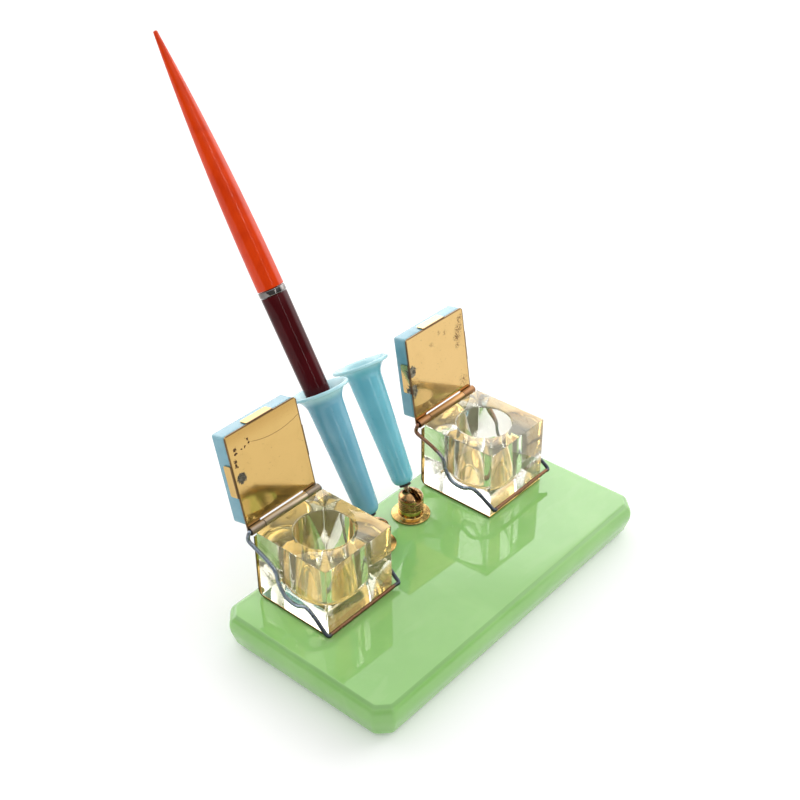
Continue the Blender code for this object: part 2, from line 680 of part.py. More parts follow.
def build_trumpet(side, tilt, finishes):
    outline = [(radius, stretched(height, side)) for radius, height in trumpet_outline(TRUMPET_GIRTH[side])]
    trumpet = add_object("trumpet_" + side, turned(outline), finishes["blue_glass"], tilt)
    shade_round(trumpet)
    washer_top = TRUMPET_FOOT - GAP
    hole = STEM_RADIUS + GAP
    rings = {
        "seat_washer_": (washer_top - SEAT_WASHER_THICKNESS, washer_top, "fibre"),
        "seat_nut_": (
            TRUMPET_FOOT + TRUMPET_FLOOR + GAP, TRUMPET_FOOT + TRUMPET_FLOOR + GAP + SEAT_NUT_THICKNESS, "steel"
        ),
    }
    for name, (bottom, top, finish) in rings.items():
        outline = [(SEAT_RADIUS, top), (SEAT_RADIUS, bottom), (hole, bottom), (hole, top)]
        ring = add_object(name + side, turned(outline, 24), finishes[finish], tilt)
        shade_round(ring)


# ---- pen ----


def tail_outline():
    """A tapered tail whose sides bow out, with a rounded tip and a tenon."""
    shoulder = BARREL_TOP + BAND_WIDTH + 2 * GAP
    taper = [i / 10 for i in range(10, -1, -1)]
    outline = [(0, shoulder + PEN_TAIL_LENGTH + 0.5 * MM)]
    outline += [
        (TAIL_TIP_RADIUS + (TAIL_RADIUS - TAIL_TIP_RADIUS) * (1 - t**2), shoulder + PEN_TAIL_LENGTH * t)
        for t in taper
    ]
    tenon_end = BARREL_TOP - TENON_LENGTH
    return outline + [(TENON_RADIUS, shoulder), (TENON_RADIUS, tenon_end), (0, tenon_end)]


def barrel_outline():
    """Barrel and grip, socketed at the top for the tenon and at the bottom for the ferrule."""
    socket = TENON_RADIUS + GAP
    socket_floor = BARREL_TOP - TENON_LENGTH - GAP
    grip_hole = FERRULE_RADIUS + GAP
    hole_top = GRIP_END + FERRULE_LENGTH + GAP
    outside = [
        (BARREL_RADIUS - 0.1 * MM, BARREL_TOP), (BARREL_RADIUS, BARREL_TOP - 0.4 * MM),
        (5.45 * MM, GRIP_END + 27 * MM), (5.10 * MM, GRIP_END + 22 * MM), (4.80 * MM, GRIP_END + 19 * MM),
        (4.50 * MM, GRIP_END + 12 * MM), (3.90 * MM, GRIP_END + 2 * MM), (3.60 * MM, GRIP_END),
    ]
    lower = [(grip_hole, GRIP_END), (grip_hole, hole_top), (0, hole_top)]
    upper = [(0, socket_floor), (socket, socket_floor), (socket, BARREL_TOP)]
    return outside, lower, upper


def build_barrel(pivot, finishes):
    outside, lower, upper = barrel_outline()
    solid = [(0, BARREL_TOP)] + outside + [(0, GRIP_END)]
    barrel = add_object("pen_barrel", turned(solid), finishes["maroon"], pivot)
    shade_round(barrel)
    above, below = BARREL_TOP + 1 * MM, GRIP_END - 1 * MM
    socket = [(0, above), (upper[1][0], above), upper[1], upper[0]]
    grip = [lower[2], lower[1], (lower[1][0], below), (0, below)]
    cut(barrel, add_object("tail_socket", turned(socket, 24)))
    cut(barrel, add_object("grip_hole", turned(grip, 24)))


def build_nib(pivot, finishes):
    """A curved steel nib: a half tube at the heel that narrows to a point."""
    heel = GRIP_END + FERRULE_LENGTH - 1 * MM
    # (share of the length from heel to tip, half angle of the curl)
    stations = [(0.0, 1.45), (0.45, 1.45), (0.62, 1.30), (0.80, 0.75), (0.92, 0.38), (1.0, 0.14)]
    across = 8
    bm = bmesh.new()
    loops = []
    for share, half_angle in stations:
        z = heel + (NIB_TIP - heel) * share
        angles = [half_angle * (2 * k / across - 1) for k in range(across + 1)]
        outer = [bm.verts.new((NIB_RADIUS * sin(a), NIB_RADIUS * cos(a), z)) for a in angles]
        inner_radius = NIB_RADIUS - NIB_THICKNESS
        inner = [bm.verts.new((inner_radius * sin(a), inner_radius * cos(a), z)) for a in angles[::-1]]
        loops.append(outer + inner)
    for loop, following in zip(loops, loops[1:]):
        count = len(loop)
        for k in range(count):
            bm.faces.new((loop[k], loop[(k + 1) % count], following[(k + 1) % count], following[k]))
    bm.faces.new(loops[0])
    bm.faces.new(loops[-1])
    nib = add_object("pen_nib", bm, finishes["steel"], pivot)
    shade_round(nib, 50)


def build_pen(tilt, finishes):
    lean = (-radians(PEN_LEAN_BACK), -radians(PEN_LEAN_SIDE), 0)
    pivot = add_pivot("pen_axis", (0, 0, PEN_CROSSING), lean, tilt)
    tail = add_object("pen_tail", turned(tail_outline()), finishes["orange"], pivot)
    shade_round(tail)
    build_barrel(pivot, finishes)
    band_bottom = BARREL_TOP + GAP
    band_inner = TENON_RADIUS + GAP
    band_outline = [
        (BAND_RADIUS, band_bottom + BAND_WIDTH), (BAND_RADIUS, band_bottom),
        (band_inner, band_bottom), (band_inner, band_bottom + BAND_WIDTH),
    ]
    band = add_object("pen_band", turned(band_outline), finishes["plated"], pivot)
    shade_round(band)
    ferrule_inner = NIB_RADIUS + 0.2 * MM
    ferrule_top = GRIP_END + FERRULE_LENGTH
    ferrule_outline = [
        (FERRULE_RADIUS, ferrule_top), (FERRULE_RADIUS, GRIP_END - 1 * MM),
        (ferrule_inner, GRIP_END - 1 * MM), (ferrule_inner, ferrule_top),
    ]
    ferrule = add_object("nib_ferrule", turned(ferrule_outline, 24), finishes["plated"], pivot)
    shade_round(ferrule)
    build_nib(pivot, finishes)


def main():
    clear_scene()
    finishes = make_materials()
    build_base(finishes)
    for side in SIDES:
        build_inkwell(side, finishes)
        tilt = build_swivel(side, finishes)
        build_trumpet(side, tilt, finishes)
        if side == "left":
            build_pen(tilt, finishes)


main()
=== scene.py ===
import json
from math import atan2, cos, pi, radians, sin, tan, tau

import bmesh
import bpy
from mathutils import Matrix, Vector


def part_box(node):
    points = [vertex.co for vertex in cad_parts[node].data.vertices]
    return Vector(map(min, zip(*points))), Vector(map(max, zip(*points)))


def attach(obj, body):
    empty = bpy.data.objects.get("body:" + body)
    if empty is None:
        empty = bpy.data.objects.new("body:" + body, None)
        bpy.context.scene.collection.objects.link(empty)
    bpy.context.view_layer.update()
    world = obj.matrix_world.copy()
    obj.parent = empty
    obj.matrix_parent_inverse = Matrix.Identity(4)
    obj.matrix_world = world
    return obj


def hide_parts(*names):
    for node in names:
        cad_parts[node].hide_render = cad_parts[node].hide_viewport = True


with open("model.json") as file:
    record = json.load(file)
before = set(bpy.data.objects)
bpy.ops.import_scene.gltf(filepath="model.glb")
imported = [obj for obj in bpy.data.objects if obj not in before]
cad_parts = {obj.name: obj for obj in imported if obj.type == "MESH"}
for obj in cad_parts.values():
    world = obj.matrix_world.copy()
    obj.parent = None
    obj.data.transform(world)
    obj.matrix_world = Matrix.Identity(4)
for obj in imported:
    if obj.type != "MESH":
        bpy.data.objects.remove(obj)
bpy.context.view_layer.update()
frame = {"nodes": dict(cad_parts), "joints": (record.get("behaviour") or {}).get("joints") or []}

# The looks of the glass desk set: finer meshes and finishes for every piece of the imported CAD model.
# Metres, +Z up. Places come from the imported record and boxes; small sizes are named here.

MM = 0.001
SIDES = ("left", "right")
GAP = 0.3 * MM  # left between pieces that touch
CLEAR = 1.0 * MM  # how far a cutter reaches past the face that it opens
FINE_ROUND = 0.15 * MM

# Camera, looking down on the set across its front left corner
CAMERA_AZIMUTH = -48.76
CAMERA_ELEVATION = 33.16
CAMERA_ROLL = -0.53
CAMERA_DISTANCE = 0.6505
CAMERA_AIM = Vector((0.0786, 0.0910, 0.0))  # above the slab's top
CAMERA_LENS = 57.8

# Room
AMBIENT = 0.74
FLOOR_HALF = 4.0
FLOOR_THICKNESS = 0.02

# Slab
SLAB_CLIP = 4.4 * MM
SLAB_ARRIS = 0.45 * MM
SLAB_BELLY = 2.6 * MM
SLAB_FOOT_SWELL = 1.2 * MM
SLAB_FOOT_ROUND = 2.2 * MM
SLAB_CORNER_ROUND = 2.8 * MM
POST_HOLE_RADIUS = 3.2 * MM
RECESS_RADIUS = 7.5 * MM
RECESS_DEPTH = 5.2 * MM

# Inkwells
SHEET = 0.55 * MM
BEND_RADIUS = 3.0 * MM
BORE_RADIUS = 12.3 * MM
BORE_DEPTH = 26.0 * MM
BORE_FLOOR_ROUND = 3.4 * MM
BORE_MOUTH_ROUND = 0.6 * MM
WELL_ARRIS = 0.35 * MM
WIRE_RADIUS = 0.85 * MM
KNUCKLE_INNER = WIRE_RADIUS + 0.35 * MM
KNUCKLE_OUTER = KNUCKLE_INNER + SHEET
KNUCKLE_WRAP = radians(300)
MIDDLE_KNUCKLE = 24.0 * MM
KNUCKLE_GAP = 0.35 * MM
KNUCKLE_CUT = 3.0 * MM  # wider than a knuckle, measured from the pin
CURL_OVERLAP = 0.4 * MM
PLATE_CORNER = 1.7 * MM
PLATE_OVERHANG = {"left": 1.1 * MM, "right": 0.4 * MM}
LID_GLASS_THICKNESS = {"left": 7.8 * MM, "right": 7.0 * MM}
LID_GLASS_ARRIS = 1.1 * MM
TAB_WIDTH = 14.0 * MM
TAB_HEIGHT = 4.2 * MM
TAB_SHEET = 0.35 * MM
TAB_CORNER = 0.8 * MM
WIRE_GAP = 0.6 * MM
HINGE_BEND = 1.1 * MM
BAIL_CORNER = 2.0 * MM
BAIL_CORNER_INSET = 0.4 * MM
FRONT_RUN_HEIGHT = 1.6 * MM  # above the underside of the glass
BAIL_STANDOFF = {"left": 0.0 * MM, "right": 2.0 * MM}
BAIL_LIFT = {"left": 0.0 * MM, "right": 2.2 * MM}
BAIL_SPREAD = {"left": 1.6 * MM, "right": 0.0 * MM}
PIN_LENGTH = 6.0 * MM
SHEET_ARRIS = 0.07 * MM

# Swivels
FLANGE_THICKNESS = 0.9 * MM
HEAD_RADIUS = 5.6 * MM
COLLAR_HEIGHT = 4.4 * MM
COLLAR_STEP = FLANGE_THICKNESS + 0.6 * MM
CAP_SHOULDER = 9.6 * MM
CAP_TOP = 13.0 * MM
CAP_SPIGOT_RADIUS = 4.0 * MM
CAP_BORE_RADIUS = 3.0 * MM
RING_COUNT = 4
RING_DEPTH = 0.35 * MM
SLOT_WIDTH = 3.1 * MM
SLOT_FRONT_FLOOR = 8.8 * MM
SLOT_BACK_FLOOR = 6.9 * MM
BALL_RADIUS = 2.6 * MM
STEM_RADIUS = 1.25 * MM

# Trumpets, with heights measured from the ball
FULL_TILT = 70.0  # degrees from upright, at the far limit of the tilt joint
TRUMPET_GIRTH = {"left": 1.045, "right": 1.0}
TRUMPET_STRETCH = {"left": 1.0326, "right": 1.0}
TRUMPET_REACH = 65.0 * MM
TRUMPET_FOOT = 8.1 * MM
TRUMPET_FOOT_RADIUS = 2.6 * MM
FOOT_ROUND_TOP = 12.0 * MM
BODY_LOW_RADIUS = 5.0 * MM
FLARE_START = 57.0 * MM
BODY_HIGH_RADIUS = 7.35 * MM
LIP_RADIUS = 12.85 * MM
LIP_THICKNESS = 1.6 * MM
TRUMPET_WALL = 1.1 * MM
TRUMPET_FLOOR = 4.0 * MM
STEM_HOLE_RADIUS = 1.6 * MM
SEAT_WASHER_THICKNESS = 0.8 * MM
SEAT_NUT_THICKNESS = 1.5 * MM
SEAT_RADIUS = 2.7 * MM

# Pen, with distances measured along it from the middle of its band
BAND_WIDTH = 2.5 * MM
BAND_RADIUS = 5.85 * MM
BARREL_RADIUS = 5.7 * MM
TAIL_LENGTH = 109.7 * MM
TAIL_RADIUS = 5.8 * MM
TAIL_TIP_RADIUS = 0.9 * MM
TENON_RADIUS = 2.9 * MM
TENON_LENGTH = 9.0 * MM
GRIP_LENGTH = 70.7 * MM
FERRULE_RADIUS = 2.75 * MM
FERRULE_LENGTH = 9.0 * MM
FERRULE_REACH = 1.0 * MM  # past the barrel's end
NIB_RADIUS = 2.2 * MM

JOINTS = {joint["name"]: joint for joint in frame["joints"]}
SLAB_LOW, SLAB_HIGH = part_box("base_slab")
SLAB_TOP = SLAB_HIGH.z
SLAB_BOTTOM = SLAB_LOW.z


def slab_swell(share):
    """How far the slab's side stands out, from its top at 0 to its foot at 1."""
    return SLAB_FOOT_SWELL * share + SLAB_BELLY * sin(pi * share**0.7)


WIDEST_SWELL = max(slab_swell(step / 8) for step in range(9))
SLAB_LENGTH = SLAB_HIGH.x - SLAB_LOW.x - 2 * WIDEST_SWELL
SLAB_DEPTH = SLAB_HIGH.y - SLAB_LOW.y - 2 * WIDEST_SWELL


# ---- mesh helpers ----


def arc(centre, radius, start, end, steps):
    angles = [start + (end - start) * i / steps for i in range(steps + 1)]
    return [(centre[0] + radius * cos(a), centre[1] + radius * sin(a)) for a in angles]


def rounded(corners, radii, steps=4):
    """A closed outline with each corner turned into an arc. A radius of 0 leaves a corner sharp."""
    if not isinstance(radii, (list, tuple)):
        radii = [radii] * len(corners)
    outline = []
    for i, (corner, radius) in enumerate(zip(corners, radii)):
        here = Vector(corner)
        back = Vector(corners[i - 1]) - here
        ahead = Vector(corners[(i + 1) % len(corners)]) - here
        half = back.angle(ahead) / 2
        if radius == 0 or half > radians(89):
            outline.append(tuple(here))
            continue
        reach = min(radius / tan(half), 0.48 * back.length, 0.48 * ahead.length)
        size = reach * tan(half)
        centre = here + (back.normalized() + ahead.normalized()).normalized() * (size / sin(half))
        first = here + back.normalized() * reach - centre
        last = here + ahead.normalized() * reach - centre
        sweep = pi - 2 * half
        for k in range(steps + 1):
            t = k / steps
            spoke = (first * sin((1 - t) * sweep) + last * sin(t * sweep)) / sin(sweep)
            outline.append(tuple(centre + spoke))
    return outline


def turned(outline, steps):
    """A (radius, height) outline spun about Z. It closes itself, unless both its ends are on the axis."""
    bm = bmesh.new()
    points = [bm.verts.new((radius, 0, height)) for radius, height in outline]
    ends_on_axis = outline[0][0] == 0 and outline[-1][0] == 0
    following = points[1:] if ends_on_axis else points[1:] + points[:1]
    edges = [bm.edges.new(pair) for pair in zip(points, following)]
    bmesh.ops.spin(bm, geom=points + edges, axis=(0, 0, 1), angle=tau, steps=steps, use_merge=True)
    bmesh.ops.remove_doubles(bm, verts=bm.verts, dist=0.0005 * MM)
    return bm


def prism(outline, low, high, axis="Z"):
    """A flat outline pushed from low to high, along Z or, for a (y, z) outline, along X."""
    bm = bmesh.new()
    if axis == "Z":
        corners = [bm.verts.new((a, b, low)) for a, b in outline]
        push = Vector((0, 0, high - low))
    else:
        corners = [bm.verts.new((low, a, b)) for a, b in outline]
        push = Vector((high - low, 0, 0))
    face = bm.faces.new(corners)
    pushed = bmesh.ops.extrude_face_region(bm, geom=[face])["geom"]
    bmesh.ops.translate(bm, vec=push, verts=[v for v in pushed if isinstance(v, bmesh.types.BMVert)])
    return bm


def box(low, high):
    low, high = Vector(low), Vector(high)
    corners = [(low.x, low.y), (high.x, low.y), (high.x, high.y), (low.x, high.y)]
    return prism(corners, low.z, high.z)


def smooth_path(points, steps):
    """A smooth curve through the points, its slope at each one set by its two neighbours."""
    ends = [points[0]] + points + [points[-1]]
    path = []
    for before, here, there, after in zip(ends, ends[1:], ends[2:], ends[3:]):
        length = (there - here).length
        leaving = (there - before).normalized() * length
        arriving = (after - here).normalized() * length
        for step in range(steps):
            t = step / steps
            path.append(
                here * (2 * t**3 - 3 * t**2 + 1) + leaving * (t**3 - 2 * t**2 + t)
                + there * (3 * t**2 - 2 * t**3) + arriving * (t**3 - t**2)
            )
    return path + [points[-1]]


def wire(path, radius, sides=16):
    """A round wire along a path, its ends closed by domes."""
    bm = bmesh.new()
    rings = []
    across = Vector((0, 0, 1))
    dome = (0.35, 0.75, 1.0)
    start = (path[0] - path[1]).normalized()
    end = (path[-1] - path[-2]).normalized()
    stations = [(path[0] + start * radius * (1 - share), share) for share in dome[:-1]]
    stations += [(point, 1.0) for point in path]
    stations += [(path[-1] + end * radius * (1 - share), share) for share in dome[-2::-1]]
    for i, (here, share) in enumerate(stations):
        before = stations[max(i - 1, 0)][0]
        after = stations[min(i + 1, len(stations) - 1)][0]
        along = (after - before).normalized()
        across = (across - along * across.dot(along)).normalized()
        aside = along.cross(across)
        angles = [tau * k / sides for k in range(sides)]
        rings.append([
            bm.verts.new(here + radius * share * (across * cos(a) + aside * sin(a))) for a in angles
        ])
    for ring, following in zip(rings, rings[1:]):
        for k in range(sides):
            bm.faces.new((ring[k], ring[(k + 1) % sides], following[(k + 1) % sides], following[k]))
    bm.faces.new(rings[0])
    bm.faces.new(rings[-1])
    return bm


def loft(rings):
    """A closed skin over outlines of one length, each (outline, height), with flat ends."""
    bm = bmesh.new()
    loops = [[bm.verts.new((x, y, height)) for x, y in outline] for outline, height in rings]
    for loop, following in zip(loops, loops[1:]):
        for k in range(len(loop)):
            after = (k + 1) % len(loop)
            bm.faces.new((loop[k], loop[after], following[after], following[k]))
    bm.faces.new(loops[0])
    bm.faces.new(loops[-1])
    return bm


def mesh_object(name, bm):
    bmesh.ops.recalc_face_normals(bm, faces=bm.faces)
    mesh = bpy.data.meshes.new(name)
    bm.to_mesh(mesh)
    bm.free()
    made = bpy.data.objects.new(name, mesh)
    bpy.context.scene.collection.objects.link(made)
    return made


def change(piece, kind, **settings):
    """Adds a modifier to the piece and applies it."""
    modifier = piece.modifiers.new(kind.lower(), kind)
    for setting, value in settings.items():
        setattr(modifier, setting, value)
    bpy.context.view_layer.update()
    evaluated = piece.evaluated_get(bpy.context.evaluated_depsgraph_get())
    changed = bpy.data.meshes.new_from_object(evaluated)
    piece.modifiers.clear()
    piece.data = changed


def combine(piece, bm, operation):
    """Cuts a shape out of the piece, or welds it on."""
    other = mesh_object("tool", bm)
    change(piece, "BOOLEAN", operation=operation, object=other, solver="EXACT")
    bpy.data.objects.remove(other)


def cut(piece, bm):
    combine(piece, bm, "DIFFERENCE")


def weld(piece, bm):
    combine(piece, bm, "UNION")


def soften(piece, width, segments):
    change(piece, "BEVEL", width=width, segments=segments, limit_method="ANGLE", angle_limit=radians(35))


def finish_piece(piece, body, node, material, place=None, sharp=35.0):
    """Shades the piece, puts it in place on its body, and hides the CAD node that it stands for."""
    piece.data.shade_smooth()
    piece.data.set_sharp_from_angle(angle=radians(sharp))
    piece.data.materials.clear()
    piece.data.materials.append(material)
    if place is not None:
        piece.matrix_world = place
    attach(piece, body)
    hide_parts(node)
    return piece


# ---- materials ----


class Nodes:
    """A node tree, built up one named step at a time."""

    def __init__(self, tree, coordinates):
        self.tree = tree
        self.coordinates = tree.nodes.new("ShaderNodeTexCoord").outputs[coordinates]

    def node(self, kind, **inputs):
        made = self.tree.nodes.new("ShaderNode" + kind)
        for name, value in inputs.items():
            self.put(made.inputs[name.replace("_", " ")], value)
        return made

    def put(self, socket, value):
        if isinstance(value, bpy.types.NodeSocket):
            self.tree.links.new(value, socket)
        elif isinstance(value, tuple) and len(value) == 3 and socket.type == "RGBA":
            socket.default_value = (*value, 1.0)
        else:
            socket.default_value = value

    def ramp(self, value, low, high, to_low=0.0, to_high=1.0):
        """Maps low..high smoothly onto to_low..to_high."""
        made = self.node("MapRange")
        made.interpolation_type = "SMOOTHSTEP"
        self.put(made.inputs["Value"], value)
        for name, limit in (("From Min", low), ("From Max", high), ("To Min", to_low), ("To Max", to_high)):
            self.put(made.inputs[name], limit)
        return made.outputs["Result"]

    def maths(self, operation, first, second=0.0):
        made = self.node("Math")
        made.operation = operation
        self.put(made.inputs[0], first)
        self.put(made.inputs[1], second)
        return made.outputs[0]

    def times(self, first, second):
        return self.maths("MULTIPLY", first, second)

    def between(self, share, first, second):
        """From first at a share of 0 to second at 1."""
        rest = self.maths("SUBTRACT", 1.0, share)
        return self.maths("ADD", self.times(rest, first), self.times(share, second))

    def axis(self, name):
        split = self.node("SeparateXYZ")
        self.put(split.inputs[0], self.coordinates)
        return split.outputs[name]


class Finish(Nodes):
    """A node material."""

    def __init__(self, name):
        self.material = bpy.data.materials.new(name)
        self.material.use_nodes = True
        super().__init__(self.material.node_tree, "Object")
        self.shader = self.tree.nodes["Principled BSDF"]
        self.output = self.tree.nodes["Material Output"]

    def set(self, **inputs):
        for name, value in inputs.items():
            self.put(self.shader.inputs[name.replace("_", " ")], value)

    def noise(self, scale, detail=3.0, roughness=0.5, distortion=0.0, where=None):
        """Scale is in features to the metre."""
        made = self.node("TexNoise", Scale=scale, Detail=detail, Roughness=roughness, Distortion=distortion)
        self.put(made.inputs["Vector"], where or self.coordinates)
        return made.outputs["Fac"]

    def mix(self, share, first, second):
        made = self.node("Mix")
        made.data_type = "RGBA"
        self.put(made.inputs["Factor"], share)
        self.put(made.inputs[6], first)
        self.put(made.inputs[7], second)
        return made.outputs[2]

    def either(self, share, first, second):
        """A blend of two shaders."""
        made = self.node("MixShader")
        for socket, value in zip(made.inputs, (share, first.outputs[0], second.outputs[0])):
            self.put(socket, value)
        return made

    def scaled(self, x, y, z):
        made = self.node("Mapping")
        self.put(made.inputs["Vector"], self.coordinates)
        made.inputs["Scale"].default_value = (x, y, z)
        return made.outputs["Vector"]

    def bump(self, height, distance, strength):
        """Height in 0..1, times the distance in metres."""
        made = self.node("Bump", Strength=strength, Distance=distance, Height=height)
        self.put(self.shader.inputs["Normal"], made.outputs["Normal"])

    def distance(self, place):
        away = self.node("VectorMath")
        away.operation = "DISTANCE"
        self.put(away.inputs[0], self.coordinates)
        away.inputs[1].default_value = place
        return away.outputs["Value"]

    def spot(self, place, radius, edge, raggedness, grain):
        """1 inside a ragged round blot at a place in the piece's own coordinates, 0 outside."""
        uneven = self.maths("SUBTRACT", self.noise(grain, 2.0), 0.5)
        distance = self.maths("ADD", self.distance(place), self.times(uneven, radius * raggedness * 4))
        return self.ramp(distance, radius * (1 + edge), radius * (1 - edge))

    def ring(self, place, radius, width):
        """1 on a thin ring about a place, 0 off it."""
        off = self.maths("ABSOLUTE", self.maths("SUBTRACT", self.distance(place), radius))
        return self.ramp(off, width, 0.4 * width)

    def most(self, masks):
        found = masks[0]
        for mask in masks[1:]:
            found = self.maths("MAXIMUM", found, mask)
        return found


def jade_glass():
    """Opaque green glass, with faint clouds and streaks drawn out along the slab. Its foot is painted paler
    as a painted reflection of the white floor, and a band under its top arris is painted darker as painted
    shade.
    """
    made = Finish("jade_glass")
    cloud = made.noise(14, 4.0, 0.55, 1.2)
    streak = made.noise(60, 3.0, 0.5, 2.0, made.scaled(0.35, 1.0, 1.0))
    base = made.mix(made.ramp(cloud, 0.35, 0.65), (0.238, 0.470, 0.142), (0.272, 0.510, 0.168))
    base = made.mix(made.ramp(streak, 0.52, 0.70, 0.0, 0.35), base, (0.29, 0.51, 0.19))
    # Painted reflection: the foot is painted paler towards the bottom, as if lit by the white floor.
    foot = made.ramp(made.axis("Z"), SLAB_BOTTOM + 3.5 * MM, SLAB_BOTTOM + 0.5 * MM, 0.0, 0.55)
    base = made.mix(foot, base, (0.40, 0.62, 0.33))
    # Painted shade: a darker band just under the top arris.
    painted_arris_shade = made.ramp(made.axis("Z"), SLAB_TOP - 1.3 * MM, SLAB_TOP - 0.5 * MM, 0.0, 0.4)
    below_top = made.ramp(made.axis("Z"), SLAB_TOP - 0.02 * MM, SLAB_TOP - 0.12 * MM)
    base = made.mix(made.times(painted_arris_shade, below_top), base, (0.12, 0.27, 0.07))
    smear = made.noise(45, 5.0, 0.6, 0.6)
    made.set(Base_Color=base, Roughness=made.ramp(smear, 0.3, 0.75, 0.015, 0.05), IOR=1.56)
    made.set(Subsurface_Weight=0.35, Subsurface_Radius=(0.6, 1.0, 0.4), Subsurface_Scale=2.5 * MM)
    made.bump(made.noise(55, 2.0, 0.4), 0.03 * MM, 0.6)
    return made.material


def clear_glass(side):
    """Clear glass under a thin milky film, which lets light through. The glass's tint is partly, and the
    film's colour wholly, a painted reflection of the brass, yellower in the left well.
    """
    made = Finish("clear_glass_" + side)
    smear = made.noise(160, 5.0, 0.6, 0.8)
    # The tint is partly a painted reflection of the brass, yellower in the left well.
    tint_and_painted_brass_reflection = {"left": (0.975, 0.960, 0.820), "right": (0.980, 0.970, 0.915)}[side]
    made.set(Base_Color=tint_and_painted_brass_reflection, Transmission_Weight=1.0, IOR=1.50)
    made.set(Roughness=made.ramp(smear, 0.45, 0.8, 0.0, 0.02))
    made.bump(made.noise(90, 2.0), 0.02 * MM, 0.4)
    path = made.node("LightPath")
    through = made.node("BsdfTransparent", Color=(0.93, 0.95, 0.90))
    # The film's colour is a painted reflection of the brass, golden in the left well.
    film_with_painted_brass_reflection = made.node("BsdfDiffuse", Color={"left": (0.62, 0.54, 0.27), "right": (0.70, 0.66, 0.50)}[side])
    misted = made.either(made.ramp(smear, 0.3, 0.8, 0.04, 0.12), made.shader, film_with_painted_brass_reflection)
    lit = made.either(path.outputs["Is Shadow Ray"], misted, through)
    made.put(made.output.inputs["Surface"], lit.outputs[0])
    return made.material


def blue_glass(name, pale, deep_colour, light_colour):
    """Opaline glass. Where its mask is 1 it is painted paler, a painted highlight."""
    made = Finish(name)
    cloud = made.noise(70, 3.0, 0.5, 1.0)
    base = made.mix(made.ramp(cloud, 0.3, 0.7), deep_colour, light_colour)
    # Painted highlight: pale where the mask is 1.
    base = made.mix(pale(made), base, (0.46, 0.70, 0.73))
    seeds = made.ramp(made.noise(1500, 1.0), 0.73, 0.76, 0.0, 0.5)
    base = made.mix(seeds, base, (0.06, 0.20, 0.26))
    smear = made.noise(120, 5.0, 0.6, 0.5)
    made.set(Base_Color=base, Roughness=made.ramp(smear, 0.3, 0.8, 0.05, 0.14), IOR=1.52)
    made.set(Subsurface_Weight=0.4, Subsurface_Radius=(0.5, 0.9, 1.0), Subsurface_Scale=1.6 * MM)
    made.bump(made.noise(140, 2.0), 0.03 * MM, 0.6)
    return made.material


def trumpet_glass(name, deep_colour, light_colour):
    # Painted highlight along the lip: the top few millimetres are painted paler.
    def lip(made):
        return made.ramp(made.axis("Z"), TRUMPET_REACH - 4 * MM, TRUMPET_REACH - 0.5 * MM, 0.0, 0.8)

    return blue_glass(name, lip, deep_colour, light_colour)


def lid_block_glass():
    # Painted highlight: the glass is painted paler along its sharp edges.
    def edge(made):
        geometry = made.node("NewGeometry")
        return made.ramp(geometry.outputs["Pointiness"], 0.51, 0.56, 0.0, 0.5)

    return blue_glass("lid_glass", edge, (0.115, 0.300, 0.385), (0.150, 0.350, 0.430))


def brass(name, colour, wear, marks):
    """Sheet brass: fine scratches, a cloudy film and small dark freckles. Marks are (mask, colour) layers."""
    made = Finish(name)
    film = made.noise(90, 5.0, 0.6, 0.8)
    freckles = made.ramp(made.noise(1300, 2.0, 0.5), 0.68, 0.76, 0.0, 0.6)
    base = made.mix(made.ramp(film, 0.40, 0.85, 0.0, wear), colour, (0.46, 0.27, 0.085))
    base = made.mix(freckles, base, (0.13, 0.075, 0.03))
    rough = made.ramp(film, 0.25, 0.8, 0.07, 0.15)
    for mask, stain in marks(made):
        base = made.mix(mask, base, stain)
        rough = made.maths("MAXIMUM", rough, made.times(mask, 0.45))
    made.set(Base_Color=base, Metallic=1.0, Roughness=rough)
    scratches = made.noise(700, 3.0, 0.7, 0.0, made.scaled(1.0, 0.06, 1.0))
    made.bump(scratches, 0.005 * MM, 0.5)
    return made.material


def plate_point(side, across, down):
    """A place on a lid's plate, given from its left edge and from its front edge."""
    half, front = lid_sizes(side)
    return (across * MM - half, front + down * MM, KNUCKLE_INNER)


def blots(made, side, places, edge, raggedness, grain):
    """1 inside ragged spots, each (from the left edge, from the front edge, radius) in millimetres."""
    return made.most([
        made.spot(plate_point(side, across, down), size * MM, edge, raggedness, grain)
        for across, down, size in places
    ])


def lid_rim_shade(made, side):
    """1 along the front and side rims of a lid's plate, where a dark line of shade is painted."""
    half, front = lid_sizes(side)
    sides = made.ramp(made.maths("ABSOLUTE", made.axis("X")), half - 0.8 * MM, half - 0.25 * MM)
    rim = made.maths("MAXIMUM", sides, made.ramp(made.axis("Y"), front + 0.8 * MM, front + 0.25 * MM))
    below_tabs = made.ramp(made.axis("Z"), KNUCKLE_OUTER + 0.35 * MM, KNUCKLE_OUTER + 0.05 * MM)
    return made.times(rim, below_tabs)


def knuckles(made):
    """1 on the curls round a hinge's pin, which is the piece's own X axis."""
    flat = made.node("VectorMath")
    flat.operation = "LENGTH"
    made.put(flat.inputs[0], made.scaled(0.0, 1.0, 1.0))
    return made.ramp(flat.outputs["Value"], KNUCKLE_OUTER + 0.6 * MM, KNUCKLE_OUTER + 0.1 * MM)


